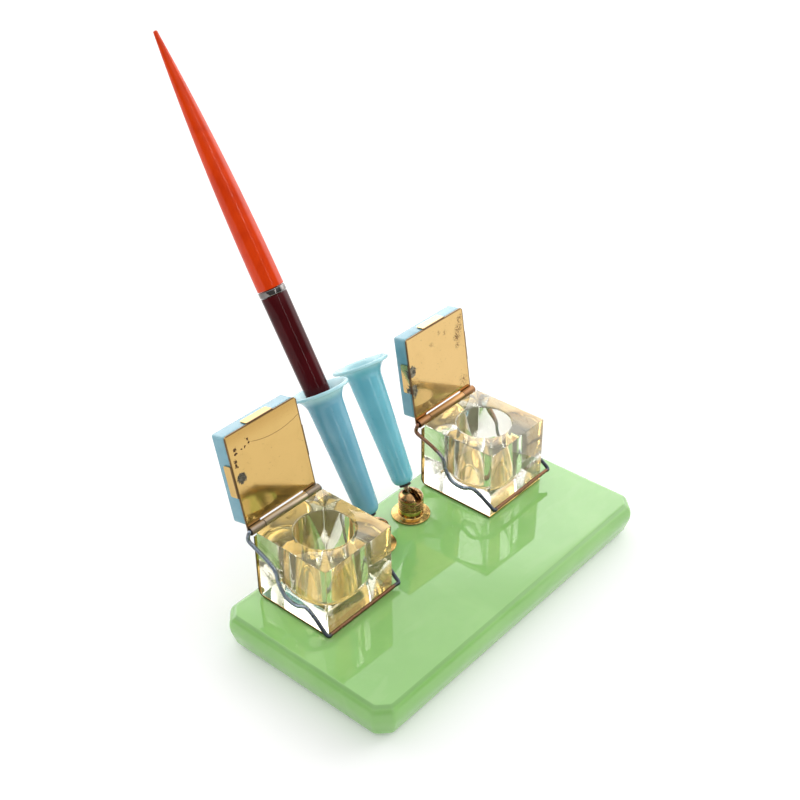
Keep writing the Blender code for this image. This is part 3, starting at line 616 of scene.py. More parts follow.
def lid_brass_left():
    """The left lid's lining: a round grey bloom, a row of dark marks and a long curved scratch."""

    def marks(made):
        _, front = lid_sizes("left")
        dark, grey = (0.10, 0.055, 0.03), (0.21, 0.19, 0.15)
        top_band = made.ramp(made.axis("Y"), front + 8 * MM, front + 1 * MM, 0.0, 0.45)
        x, y, z = plate_point("left", 25.5, -31.6)
        scratch = made.ring((x, y, z), 41.3 * MM, 0.16 * MM)
        reach = made.ramp(made.axis("X"), x - 15 * MM, x - 12 * MM)
        spots = blots(made, "left", (
            (3.7, 7.2, 0.8), (3.5, 8.8, 0.75), (2.4, 12.0, 0.8), (2.3, 13.6, 0.65), (3.0, 14.4, 0.45),
            (10.6, 5.6, 0.5), (10.9, 7.4, 0.5), (8.6, 8.0, 0.5), (6.8, 8.2, 0.35),
        ), 0.25, 0.8, 1500)
        bloom = blots(made, "left", [(3.5, 19.6, 2.3)], 0.2, 0.3, 900)
        veins = made.ramp(made.noise(1600, 3.0, 0.6, 2.0), 0.46, 0.54)
        return [
            (top_band, (0.43, 0.24, 0.06)),
            (made.times(scratch, made.times(reach, 0.75)), dark),
            (spots, dark),
            (bloom, grey),
            (made.times(bloom, veins), (0.04, 0.035, 0.03)),
            # Painted shade along the plate's front and side rims.
            (made.times(lid_rim_shade(made, "left"), 0.85), dark),
            (made.times(knuckles(made), 0.9), (0.26, 0.21, 0.17)),
        ]

    return brass("lid_brass_left", (0.62, 0.415, 0.150), 0.15, marks)


def lid_brass_right():
    """The right lid's lining: a column of corrosion, faint curls, and grey blooms by the left tab."""

    def marks(made):
        dark = (0.14, 0.075, 0.03)
        grain = made.ramp(made.noise(1150, 4.0, 0.7, 1.0), 0.47, 0.54)
        column = blots(made, "right", (
            (36.4, 4.6, 1.8), (35.0, 8.4, 2.4), (33.6, 12.0, 2.2), (33.2, 16.4, 1.4),
        ), 0.7, 0.5, 500)
        curls = blots(made, "right", (
            (15.7, 9.0, 1.0), (21.7, 5.4, 0.9), (25.4, 6.8, 1.0), (34.7, 35.0, 2.2),
        ), 0.7, 0.6, 700)
        blooms = blots(made, "right", (
            (1.4, 16.0, 2.7), (0.8, 25.4, 3.0), (-0.8, 18.0, 1.6), (-0.8, 23.8, 1.6),
        ), 0.15, 0.35, 700)
        clouds = made.noise(520, 3.0, 0.5)
        grey = made.mix(made.ramp(clouds, 0.40, 0.60), (0.09, 0.085, 0.07), (0.30, 0.27, 0.20))
        return [
            (made.times(column, grain), dark),
            (made.times(curls, made.times(grain, 0.75)), dark),
            (blooms, grey),
            # Painted shade along the plate's front and side rims.
            (made.times(lid_rim_shade(made, "right"), 0.85), (0.12, 0.06, 0.03)),
            (made.times(knuckles(made), 0.9), (0.27, 0.13, 0.065)),
        ]

    return brass("lid_brass_right", (0.70, 0.475, 0.195), 0.15, marks)


def bracket_brass(side):
    """The bracket's middle knuckle is worn to a grey or a coppery tone, and its cut side edges are dark."""
    tone = {"left": (0.30, 0.26, 0.22), "right": (0.26, 0.13, 0.065)}[side]
    low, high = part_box("bracket_" + side)
    half = (high.x - low.x) / 2

    def marks(made):
        edges = made.ramp(made.maths("ABSOLUTE", made.axis("X")), half - 0.35 * MM, half - 0.10 * MM)
        return [
            (made.times(edges, 0.9), (0.05, 0.035, 0.02)),
            (made.times(knuckles(made), 0.8), tone),
        ]

    return brass("bracket_brass_" + side, (0.66, 0.46, 0.17), 0.3, marks)


def turned_brass(name, colour, dull, roughness):
    """Lathe-turned brass, with tool rings round its axis and tarnish in patches."""
    made = Finish(name)
    patch = made.noise(260, 5.0, 0.6, 1.0)
    base = made.mix(made.ramp(patch, 0.38, 0.68), colour, dull)
    made.set(Base_Color=base, Metallic=1.0, Roughness=made.ramp(patch, 0.3, 0.75, roughness, roughness * 2.2))
    rings = made.noise(5200, 2.0, 0.6, 0.0, made.scaled(0.0, 0.0, 1.0))
    made.bump(rings, 0.02 * MM, 0.5)
    return made.material


def bail_steel(side):
    """Drawn wire: copper at the hinge and along the front run, blue-grey between, and painted blackish at the
    front corners as painted shade.
    """
    made = Finish("bail_steel_" + side)
    patch = made.noise(160, 4.0, 0.6, 1.5)
    wobble = made.times(made.maths("SUBTRACT", patch, 0.5), 10 * MM)
    ahead = made.maths("ADD", made.axis("Y"), wobble)
    steel, copper, painted_corner_shade = (0.22, 0.26, 0.31), (0.26, 0.13, 0.08), (0.035, 0.038, 0.045)
    hinge_reach = {"left": -3 * MM, "right": 13 * MM}[side]
    base = made.mix(made.ramp(ahead, -hinge_reach - 4 * MM, -hinge_reach + 2 * MM), steel, copper)
    # Painted shade: near-black low down at the front, by the foot of the well.
    base = made.mix(made.ramp(ahead, -30 * MM, -38 * MM, 0.0, 0.85), base, painted_corner_shade)
    well_low, well_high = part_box("well_glass_" + side)
    inside = (well_high.x - well_low.x) / 2 + WIRE_RADIUS
    front_run = made.ramp(made.maths("ABSOLUTE", made.axis("X")), inside, inside - 2 * MM)
    low_front = made.times(front_run, made.ramp(ahead, -30 * MM, -36 * MM))
    base = made.mix(low_front, base, (0.20, 0.10, 0.055))
    speck = made.ramp(made.noise(1800, 2.0), 0.58, 0.70, 0.0, 0.7)
    base = made.mix(speck, base, (0.03, 0.025, 0.022))
    made.set(Base_Color=base, Metallic=1.0, Roughness=made.ramp(patch, 0.3, 0.7, 0.20, 0.38))
    made.bump(made.noise(1400, 3.0), 0.02 * MM, 0.5)
    return made.material


def plain_metal(name, colour, roughness):
    made = Finish(name)
    patch = made.noise(300, 4.0, 0.6)
    dark = tuple(c * 0.6 for c in colour)
    base = made.mix(made.ramp(patch, 0.35, 0.75), colour, dark)
    made.set(Base_Color=base, Metallic=1.0, Roughness=made.ramp(patch, 0.3, 0.7, roughness, roughness * 1.7))
    made.bump(made.noise(2200, 2.0), 0.01 * MM, 0.5)
    return made.material


def lacquer(name, colour, deep, shine):
    """Polished pen lacquer: even colour, faint turning lines, light handling marks."""
    made = Finish(name)
    cloud = made.noise(80, 3.0, 0.5, 0.8)
    base = made.mix(made.ramp(cloud, 0.3, 0.7), colour, deep)
    marks = made.noise(420, 4.0, 0.65, 0.0, made.scaled(1.0, 1.0, 0.12))
    rough = made.ramp(marks, 0.35, 0.8, 0.03, 0.08)
    made.set(Base_Color=base, Roughness=rough, IOR=1.50, Specular_IOR_Level=shine)
    made.bump(marks, 0.01 * MM, 0.4)
    return made.material


def fibre():
    made = Finish("fibre")
    grain = made.noise(1500, 4.0, 0.7)
    base = made.mix(grain, (0.015, 0.013, 0.012), (0.05, 0.042, 0.035))
    made.set(Base_Color=base, Roughness=0.7)
    made.bump(grain, 0.04 * MM, 0.8)
    return made.material


def baize():
    made = Finish("baize")
    fibres = made.noise(2600, 5.0, 0.75, 1.5)
    cloud = made.noise(60, 3.0)
    base = made.mix(made.ramp(cloud, 0.3, 0.7), (0.035, 0.105, 0.045), (0.055, 0.15, 0.065))
    base = made.mix(made.ramp(fibres, 0.55, 0.75, 0.0, 0.5), base, (0.10, 0.23, 0.11))
    made.set(Base_Color=base, Roughness=0.95, Sheen_Weight=0.5, Sheen_Roughness=0.6)
    made.bump(fibres, 0.15 * MM, 0.9)
    return made.material


# ---- base ----


def clipped_rectangle(length, depth, clip, swell=0.0):
    x, y = length / 2 + swell, depth / 2 + swell
    clip += swell * (2 - 2**0.5)
    return [
        (x, y - clip), (x - clip, y), (clip - x, y), (-x, y - clip),
        (-x, clip - y), (clip - x, -y), (x - clip, -y), (x, clip - y),
    ]


def slab_sides():
    """(height, swell) down the slab's side: the top arris, the belly, and a round at the foot."""
    round_top = SLAB_BOTTOM + SLAB_FOOT_ROUND
    steps = 14
    side = [(SLAB_TOP + (round_top - SLAB_TOP) * i / steps, slab_swell(i / steps)) for i in range(1, steps)]
    fall = (Vector(side[0]) - Vector((SLAB_TOP, 0))).normalized() * SLAB_ARRIS
    arris = []
    for k in range(6):
        t = k / 5
        inward, downward = SLAB_ARRIS * (1 - t) ** 2, t * t
        arris.append((SLAB_TOP + fall.x * downward, fall.y * downward - inward))
    foot = [
        (round_top - SLAB_FOOT_ROUND * sin(a), SLAB_FOOT_SWELL - SLAB_FOOT_ROUND * (1 - cos(a)))
        for a in (k * pi / 16 for k in range(9))
    ]
    return arris + side + foot


def build_base():
    rings = []
    for height, swell in slab_sides():
        corners = clipped_rectangle(SLAB_LENGTH, SLAB_DEPTH, SLAB_CLIP, swell)
        rings.append((rounded(corners, SLAB_CORNER_ROUND, 5), height))
    slab = mesh_object("slab", loft(rings))
    recess_top = SLAB_BOTTOM + RECESS_DEPTH
    drill = [
        (0, SLAB_TOP + CLEAR), (POST_HOLE_RADIUS, SLAB_TOP + CLEAR), (POST_HOLE_RADIUS, recess_top),
        (RECESS_RADIUS, recess_top), (RECESS_RADIUS, SLAB_BOTTOM - CLEAR), (0, SLAB_BOTTOM - CLEAR),
    ]
    for side in SIDES:
        hole = turned(drill, 48)
        at = Vector(JOINTS["swivel_turn_" + side]["pos_m"])
        bmesh.ops.translate(hole, vec=(at.x, at.y, 0), verts=hole.verts)
        cut(slab, hole)
    finish_piece(slab, "base", "base_slab", jade_glass(), sharp=25)

    low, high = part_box("base_felt")
    edge = 0.2 * MM
    heights = ((low.z, -edge), (low.z + edge, 0), (high.z - edge, 0), (high.z, -edge))
    rings = [
        (rounded(clipped_rectangle(high.x - low.x, high.y - low.y, SLAB_CLIP, swell), 1 * MM), height)
        for height, swell in heights
    ]
    felt = mesh_object("felt_pad", loft(rings))
    finish_piece(felt, "base", "base_felt", baize(), sharp=80)


# ---- inkwells ----


def build_well_glass(side, glass_finish):
    low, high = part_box("well_glass_" + side)
    middle = (low + high) / 2
    half = (high.x - low.x) / 2
    tall = high.z - low.z
    glass = mesh_object("well_" + side, box((-half, -half, 0), (half, half, tall)))
    soften(glass, WELL_ARRIS, 3)
    floor = tall - BORE_DEPTH
    mouth = BORE_RADIUS + BORE_MOUTH_ROUND
    bore = [(0, tall + CLEAR), (mouth, tall + CLEAR)]
    bore += arc((mouth, tall - BORE_MOUTH_ROUND), BORE_MOUTH_ROUND, pi / 2, pi, 6)
    corner = (BORE_RADIUS - BORE_FLOOR_ROUND, floor + BORE_FLOOR_ROUND)
    bore += arc(corner, BORE_FLOOR_ROUND, 0, -pi / 2, 8) + [(0, floor)]
    cut(glass, turned(bore, 96))
    place = Matrix.Translation((middle.x, middle.y, low.z))
    finish_piece(glass, "base", "well_glass_" + side, glass_finish, place, sharp=28)


def build_bracket(side, finish):
    """Drawn about the hinge: floor plate, bend, back plate and the middle knuckle."""
    hinge = Vector(JOINTS["lid_hinge_" + side]["pos_m"])
    low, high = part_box("bracket_" + side)
    half = (high.x - low.x) / 2
    front = low.y - hinge.y
    floor = low.z - hinge.z
    outer_back = -KNUCKLE_INNER
    bend = (outer_back - BEND_RADIUS, floor + BEND_RADIUS)
    outline = [(front, floor)] + arc(bend, BEND_RADIUS, -pi / 2, 0, 10)
    outline += arc((0, 0), KNUCKLE_INNER, pi, pi - KNUCKLE_WRAP, 32)
    outline += arc((0, 0), KNUCKLE_OUTER, pi - KNUCKLE_WRAP, pi, 32)
    outline += arc(bend, BEND_RADIUS - SHEET, 0, -pi / 2, 10) + [(front, floor + SHEET)]
    bracket = mesh_object("bracket_sheet_" + side, prism(outline, -half, half, "X"))
    shoulder = -KNUCKLE_OUTER - KNUCKLE_GAP
    for sign in (-1, 1):
        near, far = sorted((sign * MIDDLE_KNUCKLE / 2, sign * (half + CLEAR)))
        cut(bracket, box((near, -KNUCKLE_CUT, shoulder), (far, KNUCKLE_CUT, KNUCKLE_CUT)))
    soften(bracket, SHEET_ARRIS, 2)
    finish_piece(bracket, "base", "bracket_" + side, finish, Matrix.Translation(hinge))


def lid_place(side):
    joint = JOINTS["lid_hinge_" + side]
    return Matrix.Translation(joint["pos_m"]) @ Matrix.Rotation(-radians(joint["range_deg"][1]), 4, "X")


def lid_sizes(side):
    """Half the plate's width, and where its front edge lies when it is closed, from the hinge."""
    hinge = Vector(JOINTS["lid_hinge_" + side]["pos_m"])
    well_low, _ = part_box("well_glass_" + side)
    glass_low, glass_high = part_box("lid_glass_" + side)
    half = (glass_high.x - glass_low.x) / 2 + GAP
    return half, well_low.y - hinge.y - PLATE_OVERHANG[side]


def build_tab(aim):
    """A folded tab: a rounded blade standing on a short root that is welded into the plate."""
    root = KNUCKLE_INNER + (SHEET - TAB_SHEET) / 2
    top = KNUCKLE_OUTER + TAB_HEIGHT
    half = TAB_WIDTH / 2
    corners = [(-half, root), (half, root), (half, top), (-half, top)]
    blade = prism(rounded(corners, [0, 0, TAB_CORNER, TAB_CORNER]), 0, TAB_SHEET)
    stand = Matrix(((0, 0, 1, 0), (1, 0, 0, 0), (0, 1, 0, 0), (0, 0, 0, 1)))
    bmesh.ops.transform(blade, matrix=aim @ stand, verts=blade.verts)
    root_plate = box((-2 * MM, -half, root), (0.5 * TAB_SHEET, half, root + TAB_SHEET))
    bmesh.ops.transform(root_plate, matrix=aim, verts=root_plate.verts)
    return blade, root_plate


def build_lid(side, plate_finish, glass_finish):
    half, front = lid_sizes(side)
    corners = [(-half, front), (half, front), (half, 0), (-half, 0)]
    plate_outline = rounded(corners, [PLATE_CORNER, PLATE_CORNER, 0, 0], 6)
    plate = mesh_object("lid_sheet_" + side, prism(plate_outline, KNUCKLE_INNER, KNUCKLE_OUTER))
    edge = -KNUCKLE_OUTER - KNUCKLE_GAP
    cleared = MIDDLE_KNUCKLE / 2 + KNUCKLE_GAP
    cut(plate, box((-cleared, edge, 0), (cleared, KNUCKLE_CUT, KNUCKLE_CUT)))
    curl = [(-CURL_OVERLAP, KNUCKLE_INNER)] + arc((0, 0), KNUCKLE_INNER, pi / 2, pi / 2 - KNUCKLE_WRAP, 32)
    curl += arc((0, 0), KNUCKLE_OUTER, pi / 2 - KNUCKLE_WRAP, pi / 2, 32) + [(-CURL_OVERLAP, KNUCKLE_OUTER)]
    for sign in (-1, 1):
        near, far = sorted((sign * cleared, sign * half))
        weld(plate, prism(curl, near, far, "X"))
    well_low, well_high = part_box("well_glass_" + side)
    middle = front + PLATE_OVERHANG[side] + (well_high.y - well_low.y) / 2
    aims = [
        Matrix.Translation((0, front, 0)) @ Matrix.Rotation(-pi / 2, 4, "Z"),
        Matrix.Translation((-half, middle, 0)) @ Matrix.Rotation(pi, 4, "Z"),
        Matrix.Translation((half, middle, 0)),
    ]
    for aim in aims:
        for shape in build_tab(aim):
            weld(plate, shape)
    soften(plate, SHEET_ARRIS, 2)
    finish_piece(plate, "lid_" + side, "lid_plate_" + side, plate_finish, lid_place(side))

    glass_bottom = KNUCKLE_OUTER + GAP
    low = (GAP - half, front + GAP, glass_bottom)
    high = (half - GAP, -KNUCKLE_OUTER - GAP, glass_bottom + LID_GLASS_THICKNESS[side])
    block = mesh_object("lid_block_" + side, box(low, high))
    soften(block, LID_GLASS_ARRIS, 6)
    finish_piece(block, "lid_" + side, "lid_glass_" + side, glass_finish, lid_place(side))


def bail_arm(side, x_hinge, x_front):
    """One side arm, from the hinge down to the front corner: two long bends, then a straight end."""
    bends = [
        (0.1, -1.1), (0.4, -4.0), (-2.4, -5.6), (-9.2, -8.4), (-14.2, -12.0), (-15.6, -17.2),
        (-19.4, -22.6), (-25.2, -23.6), (-30.4, -21.6), (-34.8, -23.8), (-40.2, -28.6),
    ]
    last = len(bends) - 1
    forward = 1 - BAIL_STANDOFF[side] / (bends[last][0] * MM)
    upward = 1 + BAIL_STANDOFF[side] / (bends[last][1] * MM)
    path = []
    for i, (y, z) in enumerate(bends):
        share = i / last
        lift = BAIL_LIFT[side] * share**8  # only the front end is bent up
        path.append(Vector((x_hinge + (x_front - x_hinge) * share, y * forward * MM, z * upward * MM + lift)))
    return path


def build_bail(side, finish):
    hinge = Vector(JOINTS["bail_hinge_" + side]["pos_m"])
    well_low, well_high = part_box("well_glass_" + side)
    half, _ = lid_sizes(side)
    well_half = (well_high.x - well_low.x) / 2
    beside = well_half + WIRE_GAP + WIRE_RADIUS
    standoff = BAIL_STANDOFF[side]
    front_y = well_low.y - hinge.y - GAP - WIRE_RADIUS - standoff
    front_z = well_low.z + FRONT_RUN_HEIGHT - hinge.z + standoff + BAIL_LIFT[side]
    spread = BAIL_SPREAD[side]
    pin_end = Vector((half - PIN_LENGTH, 0, 0))
    pin_start = Vector((beside - HINGE_BEND, 0, 0))
    mirror = Vector((-1, 1, 1))
    points = [pin_end * mirror, pin_start * mirror] + bail_arm(side, -beside, -beside)
    front_run = (
        BAIL_CORNER_INSET - beside, BAIL_CORNER - beside,
        beside + spread - BAIL_CORNER, beside + spread - BAIL_CORNER_INSET,
    )
    points += [Vector((x, front_y, front_z)) for x in front_run]
    points += bail_arm(side, beside, beside + spread)[::-1] + [pin_start, pin_end]
    bail = mesh_object("bail_" + side, wire(smooth_path(points, 8), WIRE_RADIUS))
    place = Matrix.Translation(hinge)
    finish_piece(bail, "bail_" + side, "bail_wire_" + side, finish, place, sharp=60)


def build_inkwells():
    block_glass = lid_block_glass()
    lids = {"left": lid_brass_left(), "right": lid_brass_right()}
    for side in SIDES:
        build_bracket(side, bracket_brass(side))
        build_well_glass(side, clear_glass(side))
        build_lid(side, lids[side], block_glass)
        build_bail(side, bail_steel(side))


# ---- swivels ----


def tilt_frame(side):
    """The ball's place, the trumpet's axis, and a matrix whose Z is that axis and X the tilt's axis."""
    joint = JOINTS["trumpet_tilt_" + side]
    across = -Vector(joint["axis"])
    lean = radians(FULL_TILT - joint["range_deg"][1])
    turn = atan2(across.y, across.x)
    return (
        Matrix.Translation(joint["pos_m"]) @ Matrix.Rotation(turn, 4, "Z") @ Matrix.Rotation(-lean, 4, "X"),
        turn,
    )


def cap_outline(pivot_height):
    bottom = COLLAR_HEIGHT + GAP
    outline = [
        (HEAD_RADIUS * sin(a), CAP_SHOULDER + (CAP_TOP - CAP_SHOULDER) * cos(a))
        for a in (k * pi / 32 for k in range(17))
    ]
    outline[0] = (0, CAP_TOP)
    pitch = (CAP_SHOULDER - bottom) / (RING_COUNT + 1)
    for ring in range(RING_COUNT):
        groove = CAP_SHOULDER - (ring + 1) * pitch
        for k in range(9):
            a = pi * k / 8
            outline.append((HEAD_RADIUS - RING_DEPTH * sin(a), groove + 0.28 * pitch * cos(a)))
    spigot_end = COLLAR_STEP + GAP
    roof = pivot_height + BALL_RADIUS + GAP
    outline += [
        (HEAD_RADIUS, bottom + FINE_ROUND), (HEAD_RADIUS - FINE_ROUND, bottom),
        (CAP_SPIGOT_RADIUS, bottom), (CAP_SPIGOT_RADIUS, spigot_end),
        (CAP_BORE_RADIUS, spigot_end), (CAP_BORE_RADIUS, pivot_height + 0.8 * MM),
        (CAP_BORE_RADIUS - 1.2 * MM, roof), (0, roof),
    ]
    return outline


def build_collar(side, finish):
    low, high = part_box("swivel_collar_" + side)
    flange = (high.x - low.x) / 2
    base = low.z - GAP
    corners = [
        (HEAD_RADIUS, COLLAR_HEIGHT), (HEAD_RADIUS, FLANGE_THICKNESS + GAP), (flange, FLANGE_THICKNESS),
        (flange, GAP), (POST_HOLE_RADIUS, GAP), (POST_HOLE_RADIUS, COLLAR_STEP),
        (CAP_SPIGOT_RADIUS + GAP, COLLAR_STEP), (CAP_SPIGOT_RADIUS + GAP, COLLAR_HEIGHT),
    ]
    rounds = [FINE_ROUND, 0.5 * MM, 0.3 * MM, 0.1 * MM, 0.1 * MM, 0, 0, 0.1 * MM]
    collar = mesh_object("collar_" + side, turned(rounded(corners, rounds, 5), 96))
    place = Matrix.Translation(((low.x + high.x) / 2, (low.y + high.y) / 2, base))
    finish_piece(collar, "base", "swivel_collar_" + side, finish, place)


def build_cap(side, finish):
    turn_joint = JOINTS["swivel_turn_" + side]
    pivot_height = JOINTS["trumpet_tilt_" + side]["pos_m"][2] - turn_joint["pos_m"][2]
    _, turn = tilt_frame(side)
    cap = mesh_object("cap_" + side, turned(cap_outline(pivot_height), 96))
    reach, half, above = HEAD_RADIUS + CLEAR, SLOT_WIDTH / 2, CAP_TOP + CLEAR
    cut(cap, box((-half, -reach, SLOT_FRONT_FLOOR), (half, 0.5 * MM, above)))
    cut(cap, box((-half, 0, SLOT_BACK_FLOOR), (half, reach, above)))
    soften(cap, 0.08 * MM, 2)
    place = Matrix.Translation(turn_joint["pos_m"]) @ Matrix.Rotation(turn, 4, "Z")
    finish_piece(cap, "swivel_" + side, "swivel_cap_" + side, finish, place)


def build_ball_stem(side, finish):
    place, _ = tilt_frame(side)
    stem_top = TRUMPET_FOOT + TRUMPET_FLOOR + GAP + SEAT_NUT_THICKNESS + 0.7 * MM
    start = pi / 2 - STEM_RADIUS / BALL_RADIUS
    outline = [(0, stem_top), (STEM_RADIUS - 0.2 * MM, stem_top), (STEM_RADIUS, stem_top - 0.2 * MM)]
    outline += [(STEM_RADIUS, BALL_RADIUS * 0.92)]
    outline += arc((0, 0), BALL_RADIUS, start, -pi / 2, 20)[1:-1] + [(0, -BALL_RADIUS)]
    stem = mesh_object("stem_" + side, turned(outline, 48))
    finish_piece(stem, "trumpet_" + side, "ball_stem_" + side, finish, place)


def build_rings(side, finishes):
    """The fibre washer under the trumpet, and the nut inside it."""
    place, _ = tilt_frame(side)
    washer_top = TRUMPET_FOOT - GAP
    nut_bottom = TRUMPET_FOOT + TRUMPET_FLOOR + GAP
    hole = STEM_RADIUS + GAP
    rings = (
        ("washer_", "seat_washer_", washer_top - SEAT_WASHER_THICKNESS, washer_top, "fibre"),
        ("inner_nut_", "seat_nut_", nut_bottom, nut_bottom + SEAT_NUT_THICKNESS, "steel"),
    )
    for name, node, bottom, top, finish in rings:
        corners = [(SEAT_RADIUS, top), (SEAT_RADIUS, bottom), (hole, bottom), (hole, top)]
        ring = mesh_object(name + side, turned(rounded(corners, 0.2 * MM), 48))
        finish_piece(ring, "trumpet_" + side, node + side, finishes[finish], place)


def build_swivels():
    golden = turned_brass("collar_brass", (0.58, 0.40, 0.14), (0.33, 0.20, 0.07), 0.12)
    tarnished = turned_brass("cap_brass", (0.46, 0.28, 0.12), (0.20, 0.10, 0.04), 0.14)
    finishes = {"steel": plain_metal("turned_steel", (0.42, 0.33, 0.20), 0.20), "fibre": fibre()}
    for side in SIDES:
        build_collar(side, golden)
        build_cap(side, tarnished)
        build_ball_stem(side, finishes["steel"])
        build_rings(side, finishes)
    hidden = {"swivel_post_": golden, "swivel_spring_": finishes["steel"], "swivel_nut_": finishes["steel"]}
    for node, finish in hidden.items():
        for side in SIDES:
            repaint(node + side, finish)


def repaint(node, finish):
    """Gives a CAD node that stays in view a better material."""
    for place in frame["nodes"][node].material_slots:
        place.material = finish


# ---- trumpets ----


def trumpet_radius(height, girth):
    high_radius = BODY_HIGH_RADIUS * girth
    if height <= FLARE_START:
        share = (height - FOOT_ROUND_TOP) / (FLARE_START - FOOT_ROUND_TOP)
        low_radius = BODY_LOW_RADIUS * girth
        return low_radius + (high_radius - low_radius) * share
    share = (height - FLARE_START) / (TRUMPET_REACH - FLARE_START)
    return high_radius + (LIP_RADIUS - high_radius) * share**2


def trumpet_outline(girth):
    """Down the outside from the lip, across the foot, up through the stem hole and the bore."""
    lip_low = TRUMPET_REACH - LIP_THICKNESS
    flare_low = FLARE_START - 6 * MM
    steps = 22
    flare = [flare_low + (lip_low - flare_low) * (steps - i) / steps for i in range(steps + 1)]
    outside = [(trumpet_radius(h, girth), h) for h in flare]
    foot_round = FOOT_ROUND_TOP - TRUMPET_FOOT
    foot_bulge = BODY_LOW_RADIUS * girth - TRUMPET_FOOT_RADIUS
    foot = [
        (TRUMPET_FOOT_RADIUS + foot_bulge * cos(a), FOOT_ROUND_TOP - foot_round * sin(a))
        for a in (k * pi / 24 for k in range(13))
    ]
    floor = TRUMPET_FOOT + TRUMPET_FLOOR
    hole = [(STEM_HOLE_RADIUS, TRUMPET_FOOT), (STEM_HOLE_RADIUS, floor)]
    bore_start = floor + 2 * MM
    bore = [(SEAT_RADIUS + GAP, floor), (trumpet_radius(bore_start, girth) - TRUMPET_WALL, bore_start)]
    inside = [(trumpet_radius(h, girth) - TRUMPET_WALL, h) for h in flare[::-1]]
    bead = LIP_THICKNESS / 2
    lip = arc((LIP_RADIUS - bead, TRUMPET_REACH - bead), bead, radians(110), radians(-80), 14)
    return outside + foot + hole + bore + inside + lip


def stretched(height, side):
    """The body above the foot is drawn out by the side's stretch."""
    return height + max(height - FOOT_ROUND_TOP, 0) * (TRUMPET_STRETCH[side] - 1)


def build_trumpets():
    finishes = {
        "left": trumpet_glass("trumpet_glass_left", (0.125, 0.345, 0.445), (0.155, 0.385, 0.485)),
        "right": trumpet_glass("trumpet_glass_right", (0.150, 0.450, 0.535), (0.180, 0.495, 0.580)),
    }
    for side in SIDES:
        place, _ = tilt_frame(side)
        node = "trumpet_" + side
        profile = trumpet_outline(TRUMPET_GIRTH[side])
        outline = [(radius, stretched(height, side)) for radius, height in profile]
        trumpet = mesh_object("trumpet_horn_" + side, turned(outline, 128))
        finish_piece(trumpet, node, node, finishes[side], place, sharp=50)


# ---- pen ----


def pen_frame():
    """A matrix at the middle of the band, with Z along the pen to its tail."""
    low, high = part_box("pen_band")
    along = Vector(JOINTS["pen_slide"]["axis"])
    return Matrix.Translation((low + high) / 2) @ along.to_track_quat("Z", "Y").to_matrix().to_4x4()


def build_tail(place, finish):
    shoulder = BAND_WIDTH / 2 + GAP
    steps = 40
    tip = shoulder + TAIL_LENGTH
    outline = [(0, tip + 0.5 * MM), (TAIL_TIP_RADIUS * 0.6, tip + 0.36 * MM)]
    for i in range(steps, -1, -1):
        t = i / steps
        radius = TAIL_TIP_RADIUS + (TAIL_RADIUS - TAIL_TIP_RADIUS) * (1 - t * t)
        outline.append((radius, shoulder + TAIL_LENGTH * t))
    outline[-1] = (TAIL_RADIUS, shoulder + FINE_ROUND)
    outline += [(TAIL_RADIUS - FINE_ROUND, shoulder), (TENON_RADIUS, shoulder)]
    tenon_end = -BAND_WIDTH / 2 - GAP - TENON_LENGTH
    outline += [(TENON_RADIUS, tenon_end), (0, tenon_end)]
    tail = mesh_object("tail", turned(outline, 96))
    finish_piece(tail, "pen", "pen_tail", finish, place)


def build_band(place, finish):
    inner = TENON_RADIUS + GAP
    half = BAND_WIDTH / 2
    corners = [(BAND_RADIUS, half), (BAND_RADIUS, -half), (inner, -half), (inner, half)]
    band = mesh_object("band", turned(rounded(corners, [0.35 * MM, 0.35 * MM, 0, 0], 6), 96))
    finish_piece(band, "pen", "pen_band", finish, place)


def build_barrel(place, finish):
    top = -BAND_WIDTH / 2 - GAP
    end = top - GRIP_LENGTH
    profile = [
        (BARREL_RADIUS - 0.1 * MM, top), (BARREL_RADIUS, top - 0.4 * MM), (5.45 * MM, end + 27 * MM),
        (5.10 * MM, end + 22 * MM), (4.80 * MM, end + 19 * MM), (4.50 * MM, end + 12 * MM),
        (3.90 * MM, end + 2 * MM), (3.60 * MM, end + 0.2 * MM),
    ]
    curve = smooth_path([Vector(point) for point in profile[1:]], 6)
    outside = [profile[0]] + [tuple(point) for point in curve]
    barrel = mesh_object("barrel", turned([(0, top)] + outside + [(3.3 * MM, end), (0, end)], 96))
    above, below = top + CLEAR, end - CLEAR
    socket, floor = TENON_RADIUS + GAP, top - TENON_LENGTH - GAP
    grip, hole_top = FERRULE_RADIUS + GAP, end + FERRULE_LENGTH + GAP
    cut(barrel, turned([(0, above), (socket, above), (socket, floor), (0, floor)], 48))
    cut(barrel, turned([(0, hole_top), (grip, hole_top), (grip, below), (0, below)], 48))
    finish_piece(barrel, "pen", "pen_barrel", finish, place)


def build_ferrule(place, finish):
    end = -BAND_WIDTH / 2 - GAP - GRIP_LENGTH
    inner, top = NIB_RADIUS + 0.2 * MM, end + FERRULE_LENGTH
    mouth = end - FERRULE_REACH
    corners = [(FERRULE_RADIUS, top), (FERRULE_RADIUS, mouth), (inner, mouth), (inner, top)]
    ferrule = mesh_object("ferrule", turned(rounded(corners, FINE_ROUND), 48))
    finish_piece(ferrule, "pen", "nib_ferrule", finish, place)


def build_pen():
    place = pen_frame()
    plated = plain_metal("band_plate", (0.24, 0.22, 0.21), 0.08)
    build_tail(place, lacquer("orange_lacquer", (0.68, 0.048, 0.002), (0.57, 0.034, 0.001), shine=0.3))
    build_band(place, plated)
    build_barrel(place, lacquer("maroon_rubber", (0.062, 0.004, 0.006), (0.042, 0.003, 0.004), shine=0.15))
    build_ferrule(place, plated)
    repaint("pen_nib", plain_metal("nib_steel", (0.52, 0.50, 0.46), 0.20))


# ---- stage ----


